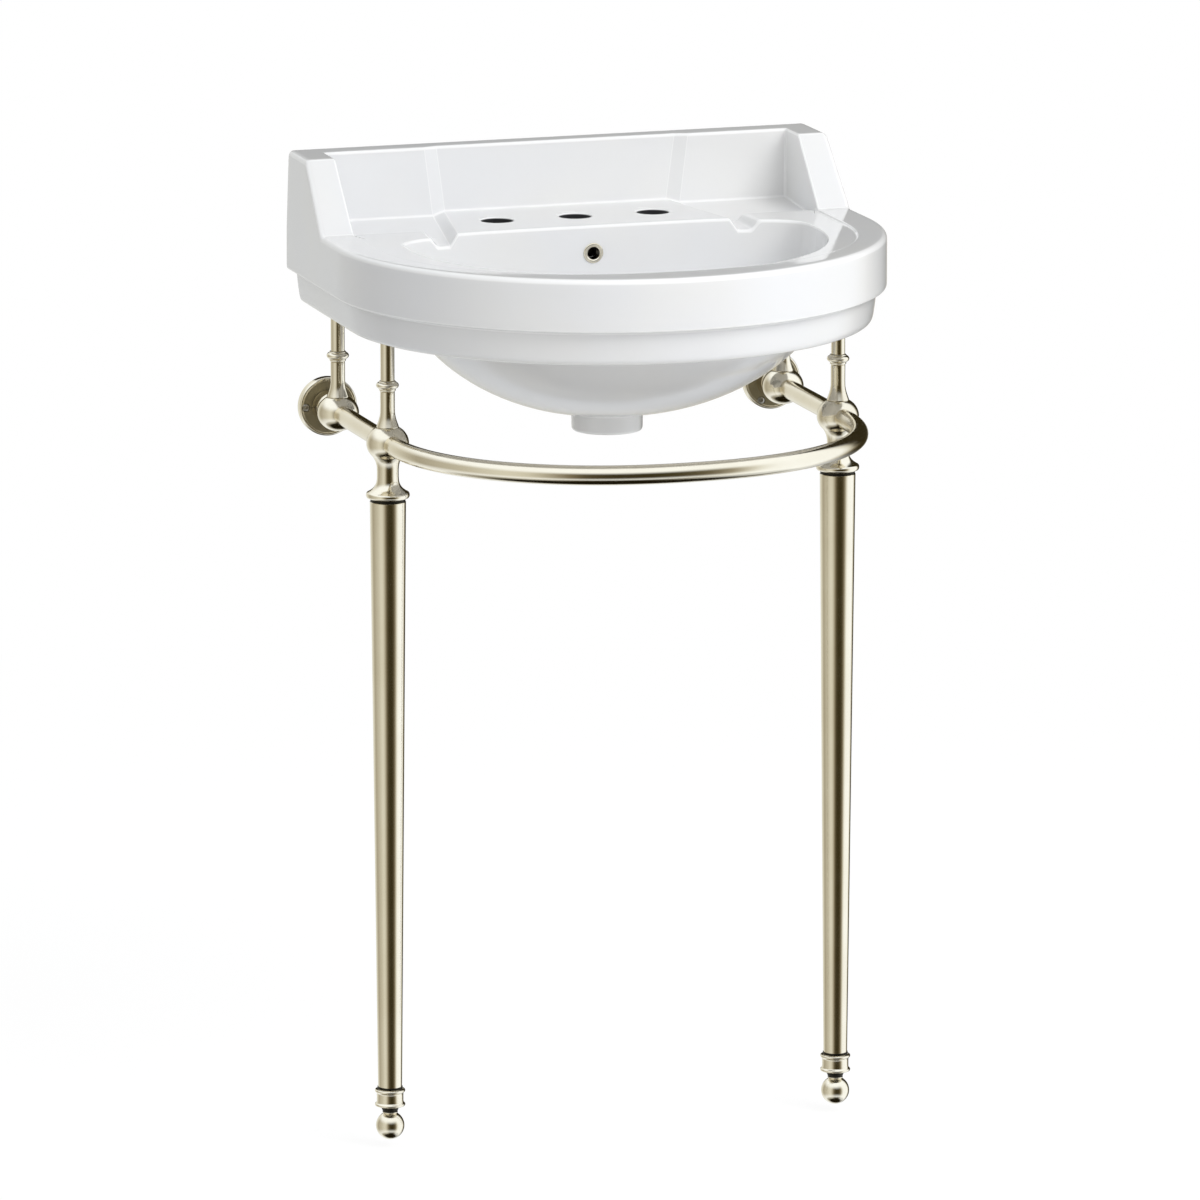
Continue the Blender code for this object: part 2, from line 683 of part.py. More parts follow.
def build_overflow_ring(nickel):
    """Build the metal bush in the overflow hole."""
    lip = OVERFLOW_RING_LIP
    sleeve_radius = OVERFLOW_HOLE_RADIUS - FIT_GAP
    profile = [
        (OVERFLOW_RING_BORE, lip),
        (OVERFLOW_RING_RADIUS - lip, lip),
        (OVERFLOW_RING_RADIUS, lip / 2),
        (OVERFLOW_RING_RADIUS, 0.0),
        (sleeve_radius, 0.0),
        (sleeve_radius, -OVERFLOW_SLEEVE_LENGTH),
        (OVERFLOW_RING_BORE, -OVERFLOW_SLEEVE_LENGTH),
    ]
    lean = bowl_back_y(OVERFLOW_DROP) - bowl_back_y(OVERFLOW_DROP - OVERFLOW_RING_RADIUS)
    y = bowl_back_y(OVERFLOW_DROP) - abs(lean) - FIT_GAP
    place = (0.0, y, -OVERFLOW_DROP)
    turned_part("overflow_ring", profile, place, nickel, closed=True, upright=False)


def rail_points():
    """Return the towel rail's centre line, from one rear ball round the front to the other."""
    end_y = RAIL_SOCKET_DEPTH / 2 - REAR_BALL_REACH - FIT_GAP
    length = BASIN_DEPTH - RAIL_FRONT_SETBACK - RAIL_BEND_REACH
    bend = arc(LEG_X, length, RAIL_POWER, 180.0, 360.0, RAIL_BEND_STEPS)
    line = [(-LEG_X, end_y)] + [(x, y - RAIL_BEND_REACH) for x, y in bend] + [(LEG_X, end_y)]
    return [Vector((x, y, RAIL_Z)) for x, y in line]


def build_rail(nickel):
    """Build the towel rail as a hollow tube, open at its two hidden ends."""
    line = rail_points()
    rail = add_part("towel_rail", tube_mesh("towel_rail", line, RAIL_RADIUS, 5), nickel)
    overrun = Vector((0.0, CUT_OVERRUN, 0.0))
    bore_line = [line[0] + overrun] + line[1:-1] + [line[-1] + overrun]
    bore = tube_mesh("rail_bore", bore_line, RAIL_RADIUS - RAIL_WALL, 3)
    combine(rail, add_cutter("rail_bore", bore), "DIFFERENCE")


def ball_arc(low, high, steps):
    """Return the side of a ball fitting as (radius, height) points, from high down to low."""
    points = []
    for step in range(steps + 1):
        height = high + (low - high) * step / steps
        points.append((BALL_RADIUS * math.sqrt(1 - (height / BALL_HALF_HEIGHT) ** 2), height))
    return points


def leg_bore_radius(distance):
    """Return the radius of the leg tube's bore at a distance below its top."""
    length = RAIL_HEIGHT - CAP_DROP - LEG_FOOT_HEIGHT
    taper = (LEG_TOP_RADIUS - LEG_FOOT_RADIUS) * distance / length
    return LEG_TOP_RADIUS - LEG_WALL - taper


def front_ball_profile():
    """Return the profile of a front ball, its neck, the flared cap and the leg's spigot."""
    neck = -BALL_NECK_DROP
    flare = neck - BALL_NECK_LENGTH
    lip = flare - CAP_FLARE_HEIGHT
    foot = lip - CAP_LIP_HEIGHT
    spigot = leg_bore_radius(CAP_SPIGOT_LENGTH) - FIT_GAP
    width = CAP_RADIUS - BALL_NECK_RADIUS
    flare_shares = ((0.05, 0.26), (0.20, 0.50), (0.45, 0.70), (0.78, 0.86), (0.97, 0.93))
    blend_low_share = 0.78
    blend = (BALL_NECK_DROP - BALL_HALF_HEIGHT * blend_low_share) / 3
    profile = [(0.0, BALL_TOP_RISE)]
    profile += ball_arc(-BALL_HALF_HEIGHT * blend_low_share, BALL_TOP_RISE, 8)
    low = profile[-1]
    step = (low[0] - BALL_NECK_RADIUS) / 4
    profile += [
        (low[0] - 2 * step, low[1] - blend),
        (low[0] - 3 * step, low[1] - 2 * blend),
        (BALL_NECK_RADIUS, neck),
        (BALL_NECK_RADIUS, flare),
    ]
    for out_share, down_share in flare_shares:
        radius = BALL_NECK_RADIUS + width * out_share
        profile.append((radius, flare - CAP_FLARE_HEIGHT * down_share))
    lip_edge = CAP_LIP_HEIGHT / 4
    profile += [
        (CAP_RADIUS, lip),
        (CAP_RADIUS - lip_edge / 2, lip - 2 * lip_edge),
        (CAP_RADIUS - lip_edge, foot + lip_edge / 2),
        (CAP_RADIUS - 2 * lip_edge, foot),
        (spigot, foot),
        (spigot, foot - CAP_SPIGOT_LENGTH),
        (0.0, foot - CAP_SPIGOT_LENGTH),
    ]
    return profile


def stud_hole(name, x, y):
    """Add the tool for the tapped hole in a ball's top, down to the rail's bore."""
    return turned_cutter(
        name,
        rod(POST_STUD_RADIUS + THREAD_GAP, 0.0, BALL_TOP_RISE + CUT_OVERRUN),
        (x, y, RAIL_Z),
    )


def build_balls(side, word, nickel):
    """Build one side's front and rear ball fittings, bored for the rail and the posts."""
    x = LEG_X * side
    bore_radius = RAIL_RADIUS + SOCKET_CLEARANCE
    front_place = (x, -LEG_REACH, RAIL_Z)
    front = turned_part(f"front_ball_{word}", front_ball_profile(), front_place, nickel)
    reach = BALL_RADIUS + CUT_OVERRUN
    bore = rod(bore_radius, -reach, reach)
    combine(front, turned_cutter(f"front_bore_{word}", bore, front_place, False), "DIFFERENCE")
    combine(front, stud_hole(f"front_stud_hole_{word}", x, -LEG_REACH), "DIFFERENCE")

    rear_place = (x, -REAR_BALL_REACH, RAIL_Z)
    bottom_share = 0.98
    profile = [(0.0, BALL_TOP_RISE)]
    profile += ball_arc(-BALL_HALF_HEIGHT * bottom_share, BALL_TOP_RISE, 9)
    profile.append((0.0, -BALL_HALF_HEIGHT))
    rear = turned_part(f"rear_ball_{word}", profile, rear_place, nickel)
    face = REAR_BALL_REACH - FLANGE_THICKNESS - FIT_GAP
    shoulder = WALL_NECK_SHOULDER
    neck = [
        (0.0, shoulder - WALL_NECK_SETBACK),
        (WALL_NECK_RADIUS - shoulder, shoulder - WALL_NECK_SETBACK),
        (WALL_NECK_RADIUS, -WALL_NECK_SETBACK),
        (WALL_NECK_RADIUS, -face),
        (WALL_SPIGOT_RADIUS, -face),
        (WALL_SPIGOT_RADIUS, -face - WALL_SPIGOT_LENGTH),
        (0.0, -face - WALL_SPIGOT_LENGTH),
    ]
    combine(rear, turned_cutter(f"wall_neck_{word}", neck, rear_place, False), "UNION")
    socket = rod(bore_radius, -RAIL_SOCKET_DEPTH / 2, reach)
    combine(rear, turned_cutter(f"rear_socket_{word}", socket, rear_place, False), "DIFFERENCE")
    combine(rear, stud_hole(f"rear_stud_hole_{word}", x, -REAR_BALL_REACH), "DIFFERENCE")


def flange_screw_places(side):
    """Return the three screws' places on a wall flange, the first one at its outer side."""
    places = []
    for index in range(FLANGE_SCREW_COUNT):
        angle = 2 * math.pi * index / FLANGE_SCREW_COUNT
        x = (LEG_X + FLANGE_SCREW_CIRCLE_RADIUS * math.cos(angle)) * side
        z = RAIL_Z + FLANGE_SCREW_CIRCLE_RADIUS * math.sin(angle)
        places.append((x, -FLANGE_THICKNESS, z))
    return places


def build_flange(side, word, nickel, steel):
    """Build one wall flange with its countersunk screws."""
    inner = WALL_SPIGOT_RADIUS + FIT_GAP
    edge = FLANGE_EDGE_RADIUS
    profile = [(inner, FLANGE_THICKNESS)]
    for inset, drop in quarter(edge, 2):
        profile.append((FLANGE_RADIUS - inset, FLANGE_THICKNESS - drop))
    profile += [(FLANGE_RADIUS, 0.0), (inner, 0.0)]
    place = (LEG_X * side, 0.0, RAIL_Z)
    flange = turned_part(
        f"wall_flange_{word}", profile, place, nickel, closed=True, upright=False
    )
    hole = [
        (0.0, CUT_OVERRUN),
        (SCREW_HEAD_RADIUS + FIT_GAP, CUT_OVERRUN),
        (SCREW_HEAD_RADIUS + FIT_GAP, -FIT_GAP),
        (SCREW_SHANK_RADIUS + FIT_GAP, -FIT_GAP - SCREW_HEAD_HEIGHT),
        (SCREW_SHANK_RADIUS + FIT_GAP, -FLANGE_THICKNESS - CUT_OVERRUN),
        (0.0, -FLANGE_THICKNESS - CUT_OVERRUN),
    ]
    screw = [
        (0.0, -SCREW_RECESS_DEPTH),
        (SCREW_RECESS_RADIUS, -SCREW_RECESS_DEPTH),
        (SCREW_RECESS_RADIUS, 0.0),
        (SCREW_HEAD_RADIUS, 0.0),
        (SCREW_SHANK_RADIUS, -SCREW_HEAD_HEIGHT),
        (SCREW_SHANK_RADIUS, FIT_GAP - FLANGE_THICKNESS),
        (0.0, FIT_GAP - FLANGE_THICKNESS),
    ]
    for index, spot in enumerate(flange_screw_places(side), start=1):
        cutter = turned_cutter(f"flange_hole_{word}_{index}", hole, spot, False, SCREW_STEPS)
        combine(flange, cutter, "DIFFERENCE")
        name = f"flange_screw_{word}_{index}"
        turned_part(name, screw, spot, steel, upright=False, steps=SCREW_STEPS)


def build_post(x, reach, word, nickel, rubber):
    """Build one support under the basin: post, collar, pin and pad, from the ball up."""
    base = RAIL_Z + BALL_TOP_RISE + FIT_GAP
    bore = POST_STUD_RADIUS + THREAD_GAP
    stud_drop = BALL_TOP_RISE - RAIL_RADIUS
    width = BALL_TOP_RADIUS - POST_RADIUS
    foot_shares = ((0.03, 0.80), (0.15, 0.55), (0.40, 0.30), (0.70, 0.12))
    post = [
        (0.0, POST_LENGTH - POST_BORE_DEPTH),
        (bore, POST_LENGTH - POST_BORE_DEPTH),
        (bore, POST_LENGTH),
        (POST_RADIUS, POST_LENGTH),
        (POST_RADIUS, POST_FOOT_HEIGHT),
    ]
    post += [(POST_RADIUS + width * out, POST_FOOT_HEIGHT * up) for out, up in foot_shares]
    post += [
        (BALL_TOP_RADIUS, 0.0),
        (POST_STUD_RADIUS, 0.0),
        (POST_STUD_RADIUS, -stud_drop),
        (0.0, -stud_drop),
    ]
    turned_part(f"post_{word}", post, (x, -reach, base), nickel)

    bead_shares = ((0.20, 0.50), (0.38, 1.0), (0.62, 1.0), (0.80, 0.50))
    bead = COLLAR_RADIUS - COLLAR_LIP_RADIUS
    collar = [(bore, COLLAR_HEIGHT), (COLLAR_LIP_RADIUS, COLLAR_HEIGHT)]
    for down_share, out_share in bead_shares:
        radius = COLLAR_LIP_RADIUS + bead * out_share
        collar.append((radius, COLLAR_HEIGHT * (1 - down_share)))
    collar += [(COLLAR_LIP_RADIUS, 0.0), (bore, 0.0)]
    collar_z = base + POST_LENGTH + FIT_GAP
    turned_part(f"post_collar_{word}", collar, (x, -reach, collar_z), nickel, closed=True)

    pin_z = collar_z + COLLAR_HEIGHT + FIT_GAP
    pin_top = -BASIN_HEIGHT - PAD_THICKNESS - 2 * FIT_GAP - pin_z
    pin = [
        (0.0, pin_top),
        (PIN_RADIUS, pin_top),
        (PIN_RADIUS, 0.0),
        (POST_STUD_RADIUS, 0.0),
        (POST_STUD_RADIUS, -PIN_SHANK_LENGTH),
        (0.0, -PIN_SHANK_LENGTH),
    ]
    turned_part(f"support_pin_{word}", pin, (x, -reach, pin_z), nickel)
    pad = rod(PAD_RADIUS, 0.0, PAD_THICKNESS)
    turned_part(f"support_pad_{word}", pad, (x, -reach, pin_z + pin_top + FIT_GAP), rubber)


def build_leg(side, word, nickel, steel):
    """Build one leg: the tapered tube, and the threaded bush in its lower end."""
    top = RAIL_Z - CAP_DROP - FIT_GAP
    foot = FLOOR_Z + LEG_FOOT_HEIGHT
    tube = [
        (LEG_TOP_RADIUS, top),
        (LEG_FOOT_RADIUS, foot),
        (LEG_FOOT_RADIUS - LEG_WALL, foot),
        (LEG_TOP_RADIUS - LEG_WALL, top),
    ]
    place = (LEG_X * side, -LEG_REACH, 0.0)
    turned_part(f"leg_tube_{word}", tube, place, nickel, closed=True)
    bush_radius = LEG_FOOT_RADIUS - LEG_WALL - FIT_GAP
    bush = [
        (STUD_RADIUS + THREAD_GAP, foot + BUSH_LENGTH),
        (bush_radius, foot + BUSH_LENGTH),
        (bush_radius, foot),
        (STUD_RADIUS + THREAD_GAP, foot),
    ]
    turned_part(f"leg_bush_{word}", bush, place, steel, closed=True)


def build_foot(side, word, nickel, steel):
    """Build one levelling foot: collar, ball and stud, which move together."""
    place = (LEG_X * side, -LEG_REACH, FLOOR_Z)
    collar_low = FOOT_COLLAR_HEIGHT_ABOVE_FLOOR
    collar_high = collar_low + FOOT_COLLAR_HEIGHT
    lip = FOOT_COLLAR_LIP_HEIGHT
    dip = FOOT_COLLAR_LIP_RADIUS - FOOT_COLLAR_WAIST_RADIUS
    cup = LEG_FOOT_RADIUS + FOOT_COLLAR_CLEARANCE
    hole = STUD_RADIUS + THREAD_GAP
    collar = [
        (cup, collar_high),
        (FOOT_COLLAR_LIP_RADIUS - dip / 2, collar_high),
        (FOOT_COLLAR_LIP_RADIUS, collar_high - lip / 3),
        (FOOT_COLLAR_LIP_RADIUS, collar_high - 2 * lip / 3),
        (FOOT_COLLAR_WAIST_RADIUS, collar_high - lip - dip / 2),
        (FOOT_COLLAR_WAIST_RADIUS, collar_low + lip + dip / 2),
        (FOOT_COLLAR_LIP_RADIUS, collar_low + 2 * lip / 3),
        (FOOT_COLLAR_LIP_RADIUS, collar_low + lip / 3),
        (FOOT_COLLAR_LIP_RADIUS - dip / 2, collar_low),
        (hole, collar_low),
        (hole, collar_low + FOOT_COLLAR_FLOOR),
        (cup, collar_low + FOOT_COLLAR_FLOOR),
    ]
    turned_part(f"foot_collar_{word}", collar, place, nickel, closed=True)

    neck_top = collar_low - FIT_GAP
    centre = math.sqrt(FOOT_BALL_RADIUS**2 - FOOT_FLAT_RADIUS**2)
    bead_z = centre + math.sqrt(FOOT_BALL_RADIUS**2 - FOOT_BEAD_RADIUS**2)
    rise = neck_top - bead_z
    socket_low = neck_top - STUD_SOCKET_DEPTH
    neck_shares = ((0.85, 0.55), (0.55, 0.12), (0.30, 0.0), (0.12, 0.15))
    flare = FOOT_NECK_TOP_RADIUS - FOOT_NECK_RADIUS
    ball = [
        (0.0, socket_low),
        (hole, socket_low),
        (hole, neck_top),
        (FOOT_NECK_TOP_RADIUS, neck_top),
    ]
    ball += [(FOOT_NECK_RADIUS + flare * out, bead_z + rise * up) for up, out in neck_shares]
    low_angle = math.asin(-centre / FOOT_BALL_RADIUS)
    high_angle = math.asin((bead_z - centre) / FOOT_BALL_RADIUS)
    steps = 8
    for step in range(steps + 1):
        angle = high_angle + (low_angle - high_angle) * step / steps
        radius = FOOT_BALL_RADIUS * math.cos(angle)
        ball.append((radius, centre + FOOT_BALL_RADIUS * math.sin(angle)))
    ball.append((0.0, 0.0))
    turned_part(f"foot_ball_{word}", ball, place, nickel)

    stud_low = socket_low + FIT_GAP
    stud = rod(STUD_RADIUS, stud_low, stud_low + STUD_LENGTH)
    turned_part(f"foot_stud_{word}", stud, place, steel)


def main():
    """Build the whole console sink."""
    clear_scene()
    bpy.context.scene.collection.children.link(SINK)
    bpy.context.scene.collection.children.link(CUTTERS)
    china = make_material("glazed_china", (0.90, 0.90, 0.89), 0.08, 0.0)
    nickel = make_material("polished_nickel", (0.80, 0.74, 0.62), 0.18, 1.0)
    steel = make_material("plain_steel", (0.55, 0.55, 0.56), 0.35, 1.0)
    rubber = make_material("grey_rubber", (0.12, 0.12, 0.12), 0.80, 0.0)
    build_basin(china)
    build_overflow_ring(nickel)
    build_rail(nickel)
    for side, word in ((-1, "left"), (1, "right")):
        build_balls(side, word, nickel)
        build_flange(side, word, nickel, steel)
        build_post(LEG_X * side, LEG_REACH, f"front_{word}", nickel, rubber)
        build_post(LEG_X * side, REAR_BALL_REACH, f"rear_{word}", nickel, rubber)
        build_leg(side, word, nickel, steel)
        build_foot(side, word, nickel, steel)


main()
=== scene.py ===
"""Looks of a console sink: a glazed china basin on a polished nickel stand with ball feet.

Lengths are in metres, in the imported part's own frame: X to the right, Y towards the wall, Z up,
with the origin on the wall plane at the height of the rim.
"""

from __future__ import annotations

import logging
import math
from collections.abc import Sequence
from dataclasses import dataclass
from enum import Enum

import bmesh
import bpy
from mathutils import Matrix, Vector


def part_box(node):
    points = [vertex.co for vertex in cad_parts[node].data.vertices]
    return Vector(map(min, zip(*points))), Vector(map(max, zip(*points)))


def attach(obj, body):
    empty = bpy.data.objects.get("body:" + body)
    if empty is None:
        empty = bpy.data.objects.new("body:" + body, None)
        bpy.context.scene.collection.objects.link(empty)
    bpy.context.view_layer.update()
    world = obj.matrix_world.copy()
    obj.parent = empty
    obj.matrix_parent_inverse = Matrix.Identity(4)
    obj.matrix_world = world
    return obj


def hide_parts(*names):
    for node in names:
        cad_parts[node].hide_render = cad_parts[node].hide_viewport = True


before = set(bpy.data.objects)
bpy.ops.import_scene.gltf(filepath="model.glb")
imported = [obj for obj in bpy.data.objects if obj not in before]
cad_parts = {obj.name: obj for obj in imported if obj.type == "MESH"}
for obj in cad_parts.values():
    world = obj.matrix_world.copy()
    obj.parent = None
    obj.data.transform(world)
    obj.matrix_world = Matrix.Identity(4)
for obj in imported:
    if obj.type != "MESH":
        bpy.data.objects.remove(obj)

LOG = logging.getLogger("console_sink")
ROOT = "root"
# Mesh attribute of the bends, along which the china's highlights are painted.
HIGHLIGHT_BEND = "crease"
FLOOR_Z = -0.905
RAIL_Z = -0.195
LEG_X = 0.236
LEG_Y = -0.213
REAR_Y = -0.042
FOOT_TRAVEL = 0.0082
TAP_PITCH = 0.082
TAP_REACH = 0.086
OVERFLOW_DROP = 0.028
SAME = 1e-9
WELD = 0.000008
LEAST_REACH = 0.0004

Point = tuple[float, float]
Place = tuple[float, float, float]
Colour = tuple[float, float, float]

WHITE: Colour = (1.0, 1.0, 1.0)


class Side(Enum):
    """The two mirrored halves of the stand."""

    LEFT = -1
    RIGHT = 1

    @property
    def word(self) -> str:
        """Return the word that the pieces of this side have in their names."""
        return self.name.lower()


class Axis(Enum):
    """Which way a turned piece's own axis points once it is in place."""

    UP = "up"
    OUT = "out from the wall"


# Shader nodes


class Wire:
    """A shader socket that takes part in Python arithmetic, one Math node per operator."""

    def __init__(self, bench: "NodeBench", socket: bpy.types.NodeSocket) -> None:
        """Keep the bench that the socket's node stands on, and the socket."""
        self.bench = bench
        self.socket = socket

    def _math(self, operation: str, first: "Wire | float", second: "Wire | float") -> "Wire":
        """Add one Math node.

        Args:
            operation: The node's operation.
            first: Its first value.
            second: Its second value.

        Returns:
            The node's result.
        """
        return self.bench.node("ShaderNodeMath", {"operation": operation}, {0: first, 1: second})

    def __add__(self, other: "Wire | float") -> "Wire":
        """Return the sum."""
        return self._math("ADD", self, other)

    __radd__ = __add__

    def __sub__(self, other: "Wire | float") -> "Wire":
        """Return the difference."""
        return self._math("SUBTRACT", self, other)

    def __rsub__(self, other: "Wire | float") -> "Wire":
        """Return the difference, with this socket taken away."""
        return self._math("SUBTRACT", other, self)

    def __mul__(self, other: "Wire | float") -> "Wire":
        """Return the product."""
        return self._math("MULTIPLY", self, other)

    __rmul__ = __mul__

    def above(self, level: float) -> "Wire":
        """Return 1 where this value is above a level, and 0 elsewhere."""
        return self._math("GREATER_THAN", self, level)

    def __truediv__(self, other: "Wire | float") -> "Wire":
        """Return the quotient."""
        return self._math("DIVIDE", self, other)

    def size(self) -> "Wire":
        """Return the value without its sign."""
        return self._math("ABSOLUTE", self, 0.0)

    def root(self) -> "Wire":
        """Return the square root."""
        return self._math("SQRT", self, 0.0)

    def bearing(self, other: "Wire") -> "Wire":
        """Return the angle whose tangent is this value over the other."""
        return self._math("ARCTAN2", self, other)

    def most(self, other: "Wire | float") -> "Wire":
        """Return the larger of the two values."""
        return self._math("MAXIMUM", self, other)

    def least(self, other: "Wire | float") -> "Wire":
        """Return the smaller of the two values."""
        return self._math("MINIMUM", self, other)

    def ramp(self, low: float, high: float) -> "Wire":
        """Map this value to 0 at low and 1 at high, held to that range.

        Args:
            low: The value that becomes 0.
            high: The value that becomes 1.

        Returns:
            The mapped value.
        """
        return self.bench.node(
            "ShaderNodeMapRange",
            {"clamp": True, "interpolation_type": "SMOOTHSTEP"},
            {"Value": self, "From Min": low, "From Max": high},
        )


@dataclass(frozen=True)
class Texture:
    """Noise: its cycles a metre, its octaves, how much the finer ones count, and its range."""

    scale: float
    detail: float = 3.0
    rough: float = 0.5
    spread: Point | None = None


class NodeBench:
    """A node tree, of a material or of the room, with one method that adds any node."""

    def __init__(self, name: str, room: bool = False) -> None:
        """Start a tree with nothing but its output.

        Args:
            name: The name of the material or the room.
            room: Whether it is the room, which is Blender's world.
        """
        kind = bpy.data.worlds if room else bpy.data.materials
        self.owner = kind.new(name)
        self.owner.use_nodes = True
        self.tree = self.owner.node_tree
        self.tree.nodes.clear()
        output = "ShaderNodeOutputWorld" if room else "ShaderNodeOutputMaterial"
        self.output = self.tree.nodes.new(output)

    def node(
        self,
        kind: str,
        settings: dict[str, object],
        inputs: dict[int | str, object],
        result: int | str = 0,
    ) -> Wire:
        """Add a node.

        Args:
            kind: The node's type.
            settings: The node's own settings, set before its sockets.
            inputs: A value or a wire for each of its sockets, by index or name.
            result: The output socket that is wanted.

        Returns:
            That output, ready for arithmetic.
        """
        made = self.tree.nodes.new(kind)
        for key, value in settings.items():
            setattr(made, key, value)
        for key, value in inputs.items():
            if isinstance(value, Wire):
                self.tree.links.new(value.socket, made.inputs[key])
            else:
                made.inputs[key].default_value = value
        return Wire(self, made.outputs[result])

    def coordinates(self) -> Wire:
        """Return the place on the object, in metres."""
        return self.node("ShaderNodeTexCoord", {}, {}, "Object")

    def stretched(self, scale: Place) -> Wire:
        """Return the place on the object, stretched along each axis."""
        return self.node("ShaderNodeMapping", {}, {"Vector": self.coordinates(), "Scale": scale})

    def noise(self, vector: Wire, texture: Texture) -> Wire:
        """Add a noise texture.

        Args:
            vector: Where it is read.
            texture: Its settings.

        Returns:
            The noise value, about 0.5 on average, or 0 to 1 over the texture's spread.
        """
        made = self.node(
            "ShaderNodeTexNoise",
            {"noise_dimensions": "3D"},
            {
                "Vector": vector,
                "Scale": texture.scale,
                "Detail": texture.detail,
                "Roughness": texture.rough,
            },
        )
        return made.ramp(*texture.spread) if texture.spread else made

    def axes(self, vector: Wire | None = None) -> tuple[Wire, Wire, Wire]:
        """Split a vector along X, Y and Z.

        Args:
            vector: The vector, or None for the place on the object.

        Returns:
            Its three parts.
        """
        vector = vector or self.coordinates()
        return tuple(
            self.node("ShaderNodeSeparateXYZ", {}, {"Vector": vector}, name) for name in "XYZ"
        )

    def mix(self, share: Wire, first: "Colour | Wire", second: "Colour | Wire") -> Wire:
        """Blend two colours.

        Args:
            share: How much of the second colour shows.
            first: The first colour.
            second: The second colour.

        Returns:
            The blended colour.
        """
        first, second = (c if isinstance(c, Wire) else (*c, 1.0) for c in (first, second))
        return self.node(
            "ShaderNodeMix", {"data_type": "RGBA"}, {"Factor": share, 6: first, 7: second}, 2
        )

    def stops(self, value: Wire, marks: Sequence[tuple[float, Colour]]) -> Wire:
        """Read a colour off a row of marks.

        Args:
            value: Where to read, from 0 to 1.
            marks: The place and colour of each mark, in order.

        Returns:
            The colour.
        """
        ramp = self.node("ShaderNodeValToRGB", {}, {"Fac": value})
        row = ramp.socket.node.color_ramp.elements
        while len(row) < len(marks):
            row.new(1.0)
        for element, (place, colour) in zip(row, marks):
            element.position = place
            element.color = (*colour, 1.0)
        return ramp

    def glow(self, colour: "Colour | Wire", strength: float) -> Wire:
        """Return a plain light of one colour."""
        colour = colour if isinstance(colour, Wire) else (*colour, 1.0)
        return self.node("ShaderNodeEmission", {}, {"Color": colour, "Strength": strength})

    def sky(self, colour: "Colour | Wire", strength: float) -> Wire:
        """Return a light that comes from the whole room."""
        colour = colour if isinstance(colour, Wire) else (*colour, 1.0)
        return self.node("ShaderNodeBackground", {}, {"Color": colour, "Strength": strength})

    def blend(self, share: Wire, first: Wire, second: Wire) -> Wire:
        """Blend two shaders."""
        return self.node("ShaderNodeMixShader", {}, {0: share, 1: first, 2: second})

    def seen_by(self, *rays: str) -> Wire:
        """Tell some kinds of ray from all others.

        Args:
            *rays: The kinds.

        Returns:
            1 for those kinds, and 0 for every other.
        """
        found = [self.node("ShaderNodeLightPath", {}, {}, f"Is {ray} Ray") for ray in rays]
        total = found[0]
        for ray in found[1:]:
            total = total.most(ray)
        return total

    def bump(self, height: Wire, depth: float, strength: float) -> Wire:
        """Add a bump node.

        Args:
            height: The relief, from 0 to 1.
            depth: How many metres a relief of 1 stands for.
            strength: How much of it is used.

        Returns:
            The bumped normal.
        """
        return self.node(
            "ShaderNodeBump", {}, {"Height": height, "Distance": depth, "Strength": strength}
        )

    def close(self, shader: Wire) -> "bpy.types.Material | bpy.types.World":
        """Join a shader to the output and return the material or the room."""
        self.tree.links.new(shader.socket, self.output.inputs["Surface"])
        return self.owner

    def finish(self, inputs: dict[str, object]) -> bpy.types.Material:
        """Give the material its surface, by the sockets that are set, and return it."""
        return self.close(self.node("ShaderNodeBsdfPrincipled", {}, inputs))


# Finishes


